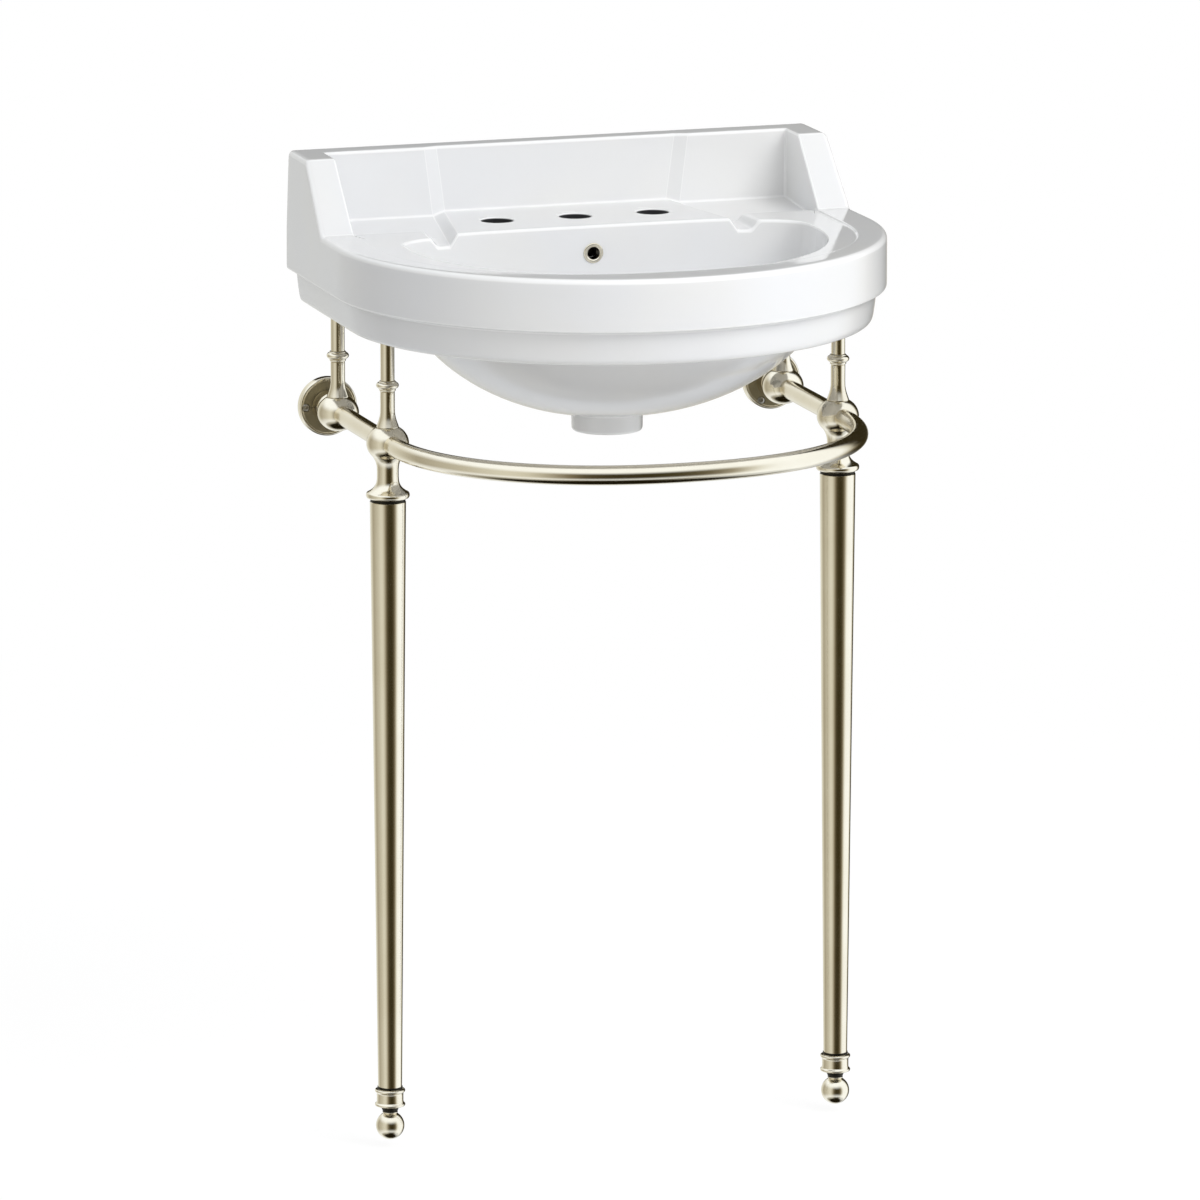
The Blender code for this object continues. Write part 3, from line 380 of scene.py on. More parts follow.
@dataclass(frozen=True)
class GlazedChina:
    """White vitreous china: a clear glaze, bare clay at the back, painted shade in the bores and
    painted highlights along tight bends.
    """

    glaze: Colour = (0.83, 0.835, 0.845)
    glaze_warm: Colour = (0.84, 0.84, 0.835)
    # Painted highlight: near white, painted along tight bends and edges as highlight lines.
    edge_highlight: Colour = (0.985, 0.985, 0.98)
    edge_highlight_share: float = 0.8
    clay: Colour = (0.62, 0.58, 0.52)
    clay_pale: Colour = (0.70, 0.665, 0.60)
    # Painted shade: near black, painted inside the tap holes and the overflow as the shade in
    # them.
    shade: Colour = (0.012, 0.012, 0.013)
    glaze_rough: float = 0.05
    smear_rough: float = 0.03
    clay_rough: float = 0.62
    refraction: float = 1.52
    relief_depth: float = 0.0004
    relief_strength: float = 0.5
    edge_noise: Texture = Texture(55.0)
    drift: Texture = Texture(7.0, 2.0, spread=(0.35, 0.65))
    smear: Texture = Texture(24.0, spread=(0.3, 0.8))
    orange_peel: Texture = Texture(60.0, 2.0, 0.4)
    pits: Texture = Texture(1400.0, 1.0, spread=(0.78, 0.86))
    clay_grain: Texture = Texture(900.0, 4.0, 0.6)
    clay_spread: Point = (0.3, 0.7)
    highlight_spread: Point = (0.05, 0.85)
    peel_relief: float = 0.10
    pit_relief: float = 0.04
    tap_edge: Point = (0.0169, 0.0173)
    tap_mouth: Point = (0.0006, 0.0018)
    tap_floor: float = 0.060
    overflow_edge: float = 0.0090
    overflow_mouth: Point = (-0.1450, -0.1435)
    overflow_back: float = -0.1200
    edge_wander: float = 0.0012
    back_edge: Point = (-0.0010, -0.0004)
    boss_edge: Point = (0.1988, 0.1992)
    slot: str = "glazed_china"

    def bores(self, bench: NodeBench) -> Wire:
        """Tell the bores, which are painted with shade, from the other surfaces.

        Args:
            bench: The material's bench.

        Returns:
            1 inside the tap holes and the overflow, and 0 on every other surface.
        """
        x, y, z = bench.axes()
        drop = z * -1.0
        across = x.size().least((x.size() - TAP_PITCH).size())
        along = y + TAP_REACH
        from_tap = (across * across + along * along).root()
        tap = (1.0 - from_tap.ramp(*self.tap_edge)) * drop.ramp(*self.tap_mouth)
        tap = tap * (1.0 - drop.above(self.tap_floor))
        rise = z + OVERFLOW_DROP
        from_overflow = (x * x + rise * rise).root()
        overflow = (1.0 - from_overflow.above(self.overflow_edge)) * y.ramp(*self.overflow_mouth)
        return tap.most(overflow * (1.0 - y.above(self.overflow_back)))

    def material(self) -> bpy.types.Material:
        """Make the material.

        Returns:
            The finished material.
        """
        bench = NodeBench("glazed_china")
        place = bench.coordinates()
        _, y, z = bench.axes()
        grain = bench.noise(place, self.clay_grain)
        edge = bench.noise(place, self.edge_noise) * self.edge_wander
        back = (y + edge).ramp(*self.back_edge)
        foot = (z * -1.0 + edge).ramp(*self.boss_edge)
        bare = back.most(foot)
        # Painted shade: the bores are painted near black, as if in shade.
        dark = self.bores(bench)
        body = bench.mix(bench.noise(place, self.drift), self.glaze, self.glaze_warm)
        clay = bench.mix(grain.ramp(*self.clay_spread), self.clay, self.clay_pale)
        # Painted highlight: the glaze is whitened where the surface bends tightly, as highlight
        # lines on the edges.
        bend = bench.node("ShaderNodeAttribute", {"attribute_name": HIGHLIGHT_BEND}, {}, "Fac")
        body = bench.mix(bend.ramp(*self.highlight_spread) * self.edge_highlight_share, body, self.edge_highlight)
        smear = bench.noise(place, self.smear) * self.smear_rough
        rough = (self.glaze_rough + smear) * (1.0 - bare)
        peel = bench.noise(place, self.orange_peel) * self.peel_relief
        pits = bench.noise(place, self.pits) * self.pit_relief
        relief = (peel - pits) * (1.0 - bare) + grain * bare
        return bench.finish(
            {
                "Base Color": bench.mix(dark, bench.mix(bare, body, clay), self.shade),
                "Roughness": rough + bare.most(dark) * self.clay_rough,
                "IOR": self.refraction,
                "Normal": bench.bump(relief, self.relief_depth, self.relief_strength),
            }
        )


@dataclass(frozen=True)
class PolishedNickel:
    """Warm nickel plating, buffed round the turned pieces and along the rail."""

    tone: Colour = (0.83, 0.775, 0.64)
    tone_deep: Colour = (0.79, 0.73, 0.59)
    # Painted shade: near black, painted in thin lines in the gaps where turned parts meet.
    joint: Colour = (0.03, 0.027, 0.02)
    # Painted shade: the darker colour painted on the flat faces of the wall plates.
    shaded: Colour = (0.33, 0.285, 0.185)
    polish: float = 0.12
    line_rough: float = 0.05
    smear_rough: float = 0.03
    shaded_rough: float = 0.28
    shade_line_rough: float = 0.3
    shade_line_edge: float = 0.0004
    relief_depth: float = 0.00002
    relief_strength: float = 0.25
    cloud: Texture = Texture(16.0, spread=(0.3, 0.7))
    buffing: Texture = Texture(180.0)
    smear: Texture = Texture(38.0, 3.0, 0.6, (0.35, 0.75))
    pores: Texture = Texture(700.0, 2.0)
    line_relief: float = 0.5
    pore_relief: float = 0.2
    plate_edge: Point = (0.0258, 0.0272)
    slot: str = "polished_nickel"

    def plate_face(self, bench: NodeBench) -> Wire:
        """Tell the flat face of a wall plate from its raised rim.

        Args:
            bench: The material's bench.

        Returns:
            1 on the face, inside the rim, and 0 elsewhere.
        """
        x, _, z = bench.axes()
        across, rise = x.size() - LEG_X, z - RAIL_Z
        return 1.0 - (across * across + rise * rise).root().ramp(*self.plate_edge)

    def material(
        self, name: str, grain: Place, shade_lines: Sequence[Point] = (), plate: bool = False
    ) -> bpy.types.Material:
        """Make the material.

        Args:
            name: The material's name.
            grain: How much finer the buffing lines are along each axis.
            shade_lines: The lowest and highest level of each line of painted shade, in the gaps
                where parts meet.
            plate: Whether it is for the wall plates, whose faces are painted darker as shade.

        Returns:
            The finished material.
        """
        bench = NodeBench(name)
        place = bench.coordinates()
        tone = bench.mix(bench.noise(place, self.cloud), self.tone, self.tone_deep)
        lines = bench.noise(bench.stretched(grain), self.buffing)
        smear = bench.noise(place, self.smear) * self.smear_rough
        rough = self.polish + lines * self.line_rough + smear
        pores = bench.noise(place, self.pores) * self.pore_relief
        relief = lines * self.line_relief + pores
        # Painted shade: inside its rim, the plate's face is painted darker and made duller, as if
        # in shade.
        if plate:
            face = self.plate_face(bench)
            tone = bench.mix(face, tone, self.shaded)
            rough = rough + face * self.shaded_rough
            relief = relief * (1.0 - face)
        height = bench.axes()[2]
        # Painted shade: each band is painted near black and dulled, as a shadow line in a gap
        # between parts.
        for low, high in shade_lines:
            begun = height.ramp(low, low + self.shade_line_edge)
            line = begun * (1.0 - height.ramp(high - self.shade_line_edge, high))
            tone = bench.mix(line, tone, self.joint)
            rough = rough + line * self.shade_line_rough
        return bench.finish(
            {
                "Base Color": tone,
                "Metallic": 1.0,
                "Roughness": rough,
                "Normal": bench.bump(relief, self.relief_depth, self.relief_strength),
            }
        )


@dataclass(frozen=True)
class TurnedSteel:
    """Plain bright steel with fine tool marks, on the screws, bushes and studs."""

    tone: Colour = (0.40, 0.375, 0.32)
    stained: Colour = (0.40, 0.395, 0.38)
    marks_along: Place = (1.0, 1.0, 14.0)
    polish: float = 0.24
    mark_rough: float = 0.16
    mark_depth: float = 0.00008
    mark_strength: float = 0.4
    marks: Texture = Texture(420.0, 4.0, 0.6)
    stain: Texture = Texture(90.0, spread=(0.35, 0.75))
    slot: str = "plain_steel"

    def material(self) -> bpy.types.Material:
        """Make the material.

        Returns:
            The finished material.
        """
        bench = NodeBench("plain_steel")
        marks = bench.noise(bench.stretched(self.marks_along), self.marks)
        stain = bench.noise(bench.coordinates(), self.stain)
        return bench.finish(
            {
                "Base Color": bench.mix(stain, self.tone, self.stained),
                "Metallic": 1.0,
                "Roughness": self.polish + marks * self.mark_rough,
                "Normal": bench.bump(marks, self.mark_depth, self.mark_strength),
            }
        )


@dataclass(frozen=True)
class MouldedRubber:
    """Dark grey rubber with a fine moulded grain, on the support pads."""

    tone: Colour = (0.045, 0.045, 0.047)
    dusty: Colour = (0.085, 0.083, 0.08)
    rough: float = 0.62
    grain_rough: float = 0.25
    grain_depth: float = 0.0001
    grain_strength: float = 0.6
    grain: Texture = Texture(1500.0, 3.0, 0.7)
    dust: Texture = Texture(120.0, spread=(0.4, 0.8))
    slot: str = "grey_rubber"

    def material(self) -> bpy.types.Material:
        """Make the material.

        Returns:
            The finished material.
        """
        bench = NodeBench("grey_rubber")
        grain = bench.noise(bench.coordinates(), self.grain)
        dust = bench.noise(bench.coordinates(), self.dust)
        return bench.finish(
            {
                "Base Color": bench.mix(dust, self.tone, self.dusty),
                "Roughness": self.rough + grain * self.grain_rough,
                "Normal": bench.bump(grain, self.grain_depth, self.grain_strength),
            }
        )


@dataclass
class Finishes:
    """Every material of the sink, made once."""

    china: bpy.types.Material
    nickel: bpy.types.Material
    nickel_cap: bpy.types.Material
    nickel_foot: bpy.types.Material
    nickel_cup: bpy.types.Material
    nickel_rail: bpy.types.Material
    nickel_plate: bpy.types.Material
    steel: bpy.types.Material
    rubber: bpy.types.Material

    @classmethod
    def mix_all(cls) -> "Finishes":
        """Make every finish.

        Returns:
            The finishes.
        """
        nickel = PolishedNickel()
        turned, plain = (1.0, 1.0, 9.0), (1.0, 1.0, 1.0)
        return cls(
            china=GlazedChina().material(),
            nickel=nickel.material("polished_nickel", turned),
            # These three nickel materials carry lines of painted shade where parts meet.
            nickel_cap=nickel.material("polished_nickel_cap", turned, (Balls.cap_joint,)),
            nickel_foot=nickel.material("polished_nickel_foot", turned, (Feet.neck_joint,)),
            nickel_cup=nickel.material("polished_nickel_cup", turned, (Feet.ring_joint,)),
            nickel_rail=nickel.material("polished_nickel_rail", plain),
            nickel_plate=nickel.material("polished_nickel_plate", plain, plate=True),
            steel=TurnedSteel().material(),
            rubber=MouldedRubber().material(),
        )


# Workshop: the ways that pieces are made


def deselect() -> None:
    """Leave edit mode and deselect every object."""
    if bpy.context.object and bpy.context.object.mode != "OBJECT":
        bpy.ops.object.mode_set(mode="OBJECT")
    bpy.ops.object.select_all(action="DESELECT")


def pick(piece: bpy.types.Object) -> None:
    """Make one object the only selected one, and the active one.

    Args:
        piece: The object.
    """
    deselect()
    piece.select_set(True)
    bpy.context.view_layer.objects.active = piece


def apply_modifier(piece: bpy.types.Object, kind: str, **settings: object) -> None:
    """Add a modifier and apply it.

    Args:
        piece: The object.
        kind: The modifier's type.
        **settings: The modifier's settings.
    """
    pick(piece)
    modifier = piece.modifiers.new(kind.lower(), kind)
    for key, value in settings.items():
        setattr(modifier, key, value)
    bpy.ops.object.modifier_apply(modifier=modifier.name)


def discard(*tools: bpy.types.Object) -> None:
    """Remove objects that have served their purpose.

    Args:
        *tools: The objects.
    """
    for tool in tools:
        bpy.data.objects.remove(tool, do_unlink=True)


def combine(
    piece: bpy.types.Object, tool: bpy.types.Object, operation: str = "DIFFERENCE"
) -> None:
    """Cut a piece with a tool, or join the tool on. The tool is used up.

    Args:
        piece: The object that stays.
        tool: The object that is taken away, or joined on.
        operation: The Boolean operation.
    """
    apply_modifier(piece, "BOOLEAN", operation=operation, solver="EXACT", object=tool)
    discard(tool)


def smooth(piece: bpy.types.Object, degrees: float = 32.0) -> None:
    """Shade a piece smooth, with the edges above an angle kept crisp."""
    pick(piece)
    bpy.ops.object.shade_smooth_by_angle(angle=math.radians(degrees))


def between(before: float, start: float, end: float, after: float, share: float) -> float:
    """Find a value between two others, on the smooth curve through four.

    Args:
        before: The value before the start.
        start: The value at a share of 0.
        end: The value at a share of 1.
        after: The value after the end.
        share: How far it is from the start to the end.

    Returns:
        The value.
    """
    slope = (end - before) * share
    bend = (2 * before - 5 * start + 4 * end - after) * share * share
    return 0.5 * (2 * start + slope + bend + (3 * start - before - 3 * end + after) * share**3)


def curve_through(points: Sequence[Point], steps: int = 6) -> list[Point]:
    """Lay a smooth line through a few stations of a turned profile.

    Args:
        points: The stations, as (radius, height).
        steps: How many short lines join two stations.

    Returns:
        The points of the line, its ends included.
    """
    ends = [points[0], *points, points[-1]]
    made: list[Point] = []
    for around in zip(ends, ends[1:], ends[2:], ends[3:]):
        for step in range(steps):
            made.append(tuple(between(*values, step / steps) for values in zip(*around)))
    made.append(tuple(points[-1]))
    return made


def oval(centre: Point, radii: Point, start: float, end: float, steps: int) -> list[Point]:
    """Lay points along an oval in a turned profile.

    Args:
        centre: Its centre, as (radius, height).
        radii: Its half width and half height.
        start: The angle where it starts, in degrees up from the outward direction.
        end: The angle where it ends.
        steps: How many short lines it has.

    Returns:
        The points, both ends included.
    """
    points = []
    for step in range(steps + 1):
        angle = math.radians(start + (end - start) * step / steps)
        across, up = radii[0] * math.cos(angle), radii[1] * math.sin(angle)
        points.append((centre[0] + across, centre[1] + up))
    return points


def turn(
    name: str, profile: Sequence[Point], closed: bool = False, steps: int = 64
) -> bpy.types.Object:
    """Turn a profile round the Z axis, as on a lathe.

    Args:
        name: The piece's name.
        profile: The profile's points, as (radius, height), top first.
        closed: Whether the last point joins the first, as in a tube.
        steps: How many flats the turned piece has.

    Returns:
        The turned object, at the origin.
    """
    deselect()
    bpy.ops.mesh.primitive_plane_add(size=0.001)
    piece = bpy.context.object
    piece.name = name
    piece.data.name = name
    bpy.ops.object.mode_set(mode="EDIT")
    bpy.ops.mesh.select_all(action="SELECT")
    bpy.ops.mesh.merge(type="CENTER")
    points = list(profile) + ([profile[0]] if closed else [])
    here = points[0]
    bpy.ops.transform.translate(value=(here[0], 0.0, here[1]))
    for radius, height in points[1:]:
        step = (radius - here[0], 0.0, height - here[1])
        bpy.ops.mesh.extrude_vertices_move(TRANSFORM_OT_translate={"value": step})
        here = (radius, height)
    bpy.ops.mesh.select_all(action="SELECT")
    bpy.ops.mesh.spin(steps=steps, angle=math.tau, center=(0.0, 0.0, 0.0), axis=(0.0, 0.0, 1.0))
    bpy.ops.mesh.select_all(action="SELECT")
    bpy.ops.mesh.remove_doubles(threshold=WELD)
    bpy.ops.mesh.normals_make_consistent(inside=False)
    bpy.ops.object.mode_set(mode="OBJECT")
    return piece


def tube(name: str, points: Sequence[Place], radius: float, fineness: int) -> bpy.types.Object:
    """Draw a round bar with flat ends along a line.

    Args:
        name: The piece's name.
        points: The line's points.
        radius: The bar's radius.
        fineness: The bevel resolution, which sets how many flats go round it.

    Returns:
        The bar.
    """
    deselect()
    curve = bpy.data.curves.new(name, "CURVE")
    curve.dimensions = "3D"
    curve.bevel_depth = radius
    curve.bevel_resolution = fineness
    curve.use_fill_caps = True
    spline = curve.splines.new("POLY")
    spline.points.add(len(points) - 1)
    for target, point in zip(spline.points, points):
        target.co = (*point, 1.0)
    piece = bpy.data.objects.new(name, curve)
    bpy.context.scene.collection.objects.link(piece)
    pick(piece)
    bpy.ops.object.convert(target="MESH")
    return bpy.context.object


def mark_highlight_bends(piece: bpy.types.Object, fine: float, sharp: float) -> None:
    """Store how tightly the surface bends at each point, for the highlights that are painted along
    tight bends.

    Args:
        piece: The object, smoothed and finished.
        fine: The bend, in radians a metre, where the mark starts.
        sharp: The bend where the mark is full.
    """
    body = bmesh.new()
    body.from_mesh(piece.data)
    bends = []
    for point in body.verts:
        most = 0.0
        for edge in point.link_edges:
            if len(edge.link_faces) == 2:
                area = sum(face.calc_area() for face in edge.link_faces)
                reach = max(area / max(edge.calc_length(), 1e-6), LEAST_REACH)
                most = max(most, edge.calc_face_angle(0.0) / reach)
        bends.append(min(max((most - fine) / (sharp - fine), 0.0), 1.0))
    body.free()
    layer = piece.data.attributes.new(HIGHLIGHT_BEND, "FLOAT", "POINT")
    layer.data.foreach_set("value", bends)


def copy_of(piece: bpy.types.Object, name: str) -> bpy.types.Object:
    """Copy an object with its mesh.

    Args:
        piece: The object to copy.
        name: The copy's name.

    Returns:
        The copy.
    """
    twin = piece.copy()
    twin.data = piece.data.copy()
    twin.name = name
    twin.data.name = name
    bpy.context.scene.collection.objects.link(twin)
    return twin


def stand(piece: bpy.types.Object, place: Place, axis: Axis = Axis.UP) -> bpy.types.Object:
    """Stand a turned piece in its place.

    Args:
        piece: The object, as it came off the lathe.
        place: Where its own origin goes.
        axis: Which way its axis points.

    Returns:
        The same object, with its place in its mesh.
    """
    piece.location = place
    if axis is Axis.OUT:
        piece.rotation_euler = (math.pi / 2, 0.0, 0.0)
    pick(piece)
    bpy.ops.object.transform_apply(location=True, rotation=True, scale=True)
    return piece


def set_out(
    shape: bpy.types.Object, name: str, place: Place, axis: Axis = Axis.UP
) -> bpy.types.Object:
    """Stand a smooth copy of a turned shape in its place.

    Args:
        shape: The shape, as it came off the lathe.
        name: The copy's name.
        place: Where its own origin goes.
        axis: Which way its axis points.

    Returns:
        The copy.
    """
    piece = stand(copy_of(shape, name), place, axis)
    smooth(piece)
    return piece


def dress(
    piece: bpy.types.Object,
    material: bpy.types.Material,
    slot: str,
    node: str,
    body: str = ROOT,
) -> None:
    """Finish a piece: its material, the node that it stands for and its body.

    Args:
        piece: The finished object.
        material: Its material.
        slot: The record's material slot; not used.
        node: The CAD node that it replaces.
        body: The CAD body that it moves with.
    """
    piece.data.materials.clear()
    piece.data.materials.append(material)
    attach(piece, body)
    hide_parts(node)
    LOG.info("%s: %d faces", piece.name, len(piece.data.polygons))


def redress(node: str, material: bpy.types.Material) -> None:
    """Give a CAD node that stays a better material, in its object's own slots.

    Args:
        node: The node.
        material: Its new material.
    """
    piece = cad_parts[node]
    if not piece.material_slots:
        piece.data.materials.append(None)
    for slot in piece.material_slots:
        slot.link = "OBJECT"
        slot.material = material
    LOG.info("%s: carried over", node)


# Basin


class Deck(Enum):
    """What a column crosses between the bowl's lip and the foot of the wall."""

    PLATFORM = "tap platform"
    SPOUT = "spout of a soap ledge"
    LEDGE = "soap ledge"
    RIM = "recessed rim"


class Line:
    """A line of short steps in plan, measured along its length."""

    def __init__(self, points: list[Vector]) -> None:
        """Measure the line.

        Args:
            points: Its corners, in order.
        """
        self.points = points
        self.lengths = [0.0]
        for before, after in zip(points, points[1:]):
            self.lengths.append(self.lengths[-1] + (after - before).length)

    def at(self, distance: float) -> Vector:
        """Find a point by its distance along the line.

        Args:
            distance: The distance from the line's start.

        Returns:
            The point, or the line's end where the distance is longer than the line.
        """
        for index in range(1, len(self.lengths)):
            if self.lengths[index] >= distance:
                span = self.lengths[index] - self.lengths[index - 1]
                share = (distance - self.lengths[index - 1]) / span if span else 0.0
                return self.points[index - 1].lerp(self.points[index], share)
        return self.points[-1].copy()

    def corner(self, distance: float) -> int:
        """Return the number of the first corner at or past a distance."""
        return next(i for i, length in enumerate(self.lengths) if length >= distance - SAME)

    def until_x(self, x: float) -> float:
        """Return the length up to the first corner at or past x."""
        return self.lengths[next(i for i, p in enumerate(self.points) if p.x >= x - SAME)]

    def until_y(self, y: float, beyond: float) -> float:
        """Measure the line up to a place on the side or the front.

        Args:
            y: The place.
            beyond: The x that the corner has to be past, which leaves the back out.

        Returns:
            The length up to the first corner at or past y.
        """
        found = (i for i, p in enumerate(self.points) if p.y <= y and p.x > beyond)
        return self.lengths[next(found)]


@dataclass(frozen=True)
class Station:
    """A key column of the basin. The columns after it, up to the next one, lie evenly spread."""

    distance: float
    foot: Point
    top: Point
    outer: float
    deck: Deck
    bay: bool
    count: int


@dataclass
class Column:
    """One line of the basin's surface, from the outlet up over the rim and back underneath."""

    bowl: Vector
    foot: Vector
    top: Vector
    outer: float
    decks: tuple[Deck, Deck]
    share: float
    bay: bool
    radii: Point


@dataclass
class Basin:
    """The china casting: bowl, rim, tap platform, soap ledges, splashback, wings and apron."""

    half_width: float = 0.280
    back_half: float = 0.277
    depth: float = 0.460
    side_run: float = 0.190
    bowl_half: float = 0.212
    bowl_centre: float = 0.215
    bowl_back: float = 0.1455
    bowl_front: float = 0.418
    bowl_depth: float = 0.165
    bowl_steps: int = 360
    bowl_back_steps: int = 240
    bowl_front_power: float = 2.05
    bowl_fullness: Point = (2.4, 0.65)
    wall: float = 0.012
    outlet_reach: float = 0.190
    floor_radius: float = 0.034
    recess: float = 0.002
    recess_half: float = 0.244
    recess_front: float = 0.4195
    recess_centre: float = 0.205
    recess_power: float = 2.2
    recess_start: float = 0.003
    wing_inner: float = 0.244
    wing_top_y: float = -0.063
    wing_foot_y: float = -0.127
    splash_height: float = 0.067
    splash_end: float = 0.985
    centre_y: float = -0.022
    side_y: float = -0.0255
    lean: float = 0.0025
    ledge_y: float = -0.114
    ledge_drop: float = 0.0035
    ledge_fall: float = 0.008
    lip_radius: float = 0.0030
    lip_angles: tuple[float, ...] = (28.0, 58.0, 90.0)
    lip_most: float = 0.45
    rim_crossing: float = 0.75
    ledge_room: Point = (0.006, 0.2)
    step_margin: Point = (0.0016, 0.2)
    step_rounding: float = 0.35
    foot_fillet: Point = (0.003, 0.35)
    splash_radii: Point = (0.0028, 0.0065)
    wing_radii: Point = (0.0018, 0.0062)
    rim_radii: Point = (0.0012, 0.0056)
    wall_fillet: float = 0.0016
    wall_start: float = 0.22
    wall_ease: Point = (0.0009, 0.05)
    crest_angles: tuple[float, ...] = (30.0, 60.0, 90.0)
    crest_most: float = 0.4
    edge_angles: tuple[float, ...] = (90.0, 72.0, 54.0, 36.0, 18.0, 0.0)
    back_edge_y: float = -0.0012
    side_level: float = -0.013
    floor_inset: float = 0.0195
    floor_level: float = -0.088
    bay_level: float = -0.020
    bay_foot: Point = (0.0015, -0.0860)
    bay_corner: Point = (0.003, 0.004)
    bay_setback: float = 0.004
    bay_drops: Point = (0.026, 0.060)
    shell_meeting: Point = (0.99, -0.0005)
    tap_radius: float = 0.0165
    tap_rounding: float = 0.0016
    overflow_radius: float = 0.0087
    duct_radius: float = 0.0115
    duct_bore: float = 0.0065
    duct_top: float = -0.016
    duct_setback: float = 0.0195
    duct_ends: Point = (0.0290, 0.016)
    mouth_overrun: float = 0.006
    front_columns: int = 46
    front_steps: int = 240
    smoothing: float = 40.0
    highlight_bends: Point = (40.0, 105.0)
    seat: tuple[Point, ...] = (
        (0.0225, -0.1975), (0.0225, -0.1850), (0.0225, -0.1715), (0.0225, -0.1692),
        (0.0233, -0.1683), (0.0245, -0.1680), (0.0292, -0.1680), (0.0305, -0.1676),
        (0.0310, -0.1663), (0.0314, -0.1655), (0.0325, -0.1650),
    )
    bowl_shares: tuple[float, ...] = (
        0.9985, 0.992, 0.975, 0.945, 0.90, 0.84, 0.77, 0.69, 0.60, 0.50, 0.40, 0.30,
    )
    lip_shares: tuple[float, ...] = (0.78, 0.55, 0.35, 0.18, 0.07, 0.0)
    deck_front_shares: tuple[float, ...] = (0.12, 0.4, 0.7, 0.92)
    deck_back_shares: tuple[float, ...] = (0.1, 0.35, 0.65, 0.9, 1.0)
    wall_shares: tuple[float, ...] = (0.0, 0.12, 0.5, 0.88, 1.0)
    crest_shares: tuple[float, ...] = (0.15, 0.5, 0.85)
    side_shares: tuple[float, ...] = (0.33, 0.66, 1.0)
    floor_shares: tuple[float, ...] = (0.08, 0.3, 0.55, 0.78, 0.9, 0.96)
    shell_shares: tuple[float, ...] = (
        0.515, 0.56, 0.63, 0.70, 0.77, 0.83, 0.885, 0.93, 0.965, 0.99,
    )
    apron: tuple[Point, ...] = (
        (0.0, -0.030), (0.0, -0.0480), (0.0, -0.0508), (0.0004, -0.0522), (0.0015, -0.0530),
        (0.0050, -0.0534), (0.0088, -0.0540), (0.0100, -0.0552), (0.0105, -0.0580),
        (0.0112, -0.0660), (0.0128, -0.0780), (0.0135, -0.0822), (0.0146, -0.0852),
        (0.0166, -0.0873), (0.0195, -0.0880),
    )
    boss: tuple[Point, ...] = (
        (0.0430, -0.1770), (0.0390, -0.1775), (0.0366, -0.1787), (0.0357, -0.1808),
        (0.0357, -0.1830), (0.0357, -0.1950), (0.0354, -0.1974), (0.0344, -0.1987),
        (0.0325, -0.1990), (0.0250, -0.1990), (0.0231, -0.1986),
    )

    def front_curve(self, half: float, centre: float, front: float, power: float) -> list[Vector]:
        """Bend a curve in plan from the side round to the front's middle.

        Args:
            half: Its half width.
            centre: How far before the wall it is widest.
            front: How far before the wall it ends.
            power: How full its corners are.

        Returns:
            Its points, without the one at the side.
        """
        points = []
        for step in range(1, self.bowl_steps + 1):
            angle = math.radians(90.0 * step / self.bowl_steps)
            x = half * max(math.cos(angle), 0.0) ** (2 / power)
            points.append(Vector((x, -centre - (front - centre) * math.sin(angle) ** (2 / power))))
        return points

    def bowl_curve(self) -> Line:
        """Lay the bowl's edge in plan.

        Returns:
            The line from the back's middle round to the front's middle.
        """
        points = []
        reach = self.bowl_centre - self.bowl_back
        for step in range(self.bowl_back_steps + 1):
            share = step / self.bowl_back_steps
            rise = (1 - share**4) ** 0.25
            points.append(Vector((self.bowl_half * share, reach * rise - self.bowl_centre)))
        points += self.front_curve(
            self.bowl_half, self.bowl_centre, self.bowl_front, self.bowl_front_power
        )
        return Line(points)

    def foot_curve(self) -> Line:
        """Lay the recess's edge in plan.

        Returns:
            The line from the wing's foot round to the front's middle.
        """
        points = [
            Vector((self.wing_inner, self.wing_foot_y)),
            Vector((self.wing_inner, -self.recess_centre)),
        ]
        points += self.front_curve(
            self.recess_half, self.recess_centre, self.recess_front, self.recess_power
        )
        return Line(points)

    def outline(self, where: float, inset: float) -> Vector:
        """Find a point of the outside in plan.

        Args:
            where: 0 to 1 along the back, to 2 along the side, and to 3 round the front.
            inset: How far the outline is drawn in on its side and front.

        Returns:
            The point.
        """
        half = self.half_width - inset
        back = self.back_half - inset
        if where <= 1.0:
            return Vector((back * where, 0.0))
        if where <= 2.0:
            share = where - 1.0
            return Vector((back + (half - back) * share, -self.side_run * share))
        angle = (where - 2.0) * math.pi / 2
        reach = self.depth - self.side_run - inset
        return Vector((half * math.cos(angle), -self.side_run - reach * math.sin(angle)))

    def top_height(self, y: float) -> float:
        """Return the height of the wing's top edge, or of the rim in front of it."""
        share = (y - self.wing_foot_y) / (self.wing_top_y - self.wing_foot_y)
        return self.splash_height * min(max(share, 0.0), 1.0)

    def kind_height(self, kind: Deck, y: float, behind: bool) -> float:
        """Find the height of one kind of deck.

        Args:
            kind: The kind.
            y: The place.
            behind: Whether the place is behind the front edge of the soap ledge.

        Returns:
            The height. A ledge's floor falls towards the bowl.
        """
        if kind is Deck.PLATFORM:
            return 0.0
        if kind is Deck.RIM or (kind is Deck.LEDGE and not behind):
            return -self.recess
        share = (self.side_y - y) / (self.bowl_back + self.side_y)
        return -self.ledge_drop - self.ledge_fall * min(max(share, 0.0), 1.15)

    def deck_height(self, column: Column, y: float, behind: bool) -> float:
        """Find the height of a column's deck, between those of the stations beside it.

        Args:
            column: The column.
            y: The place.
            behind: Whether the place is behind the front edge of the soap ledge.

        Returns:
            The height.
        """
        first, second = (self.kind_height(kind, y, behind) for kind in column.decks)
        return first * (1 - column.share) + second * column.share

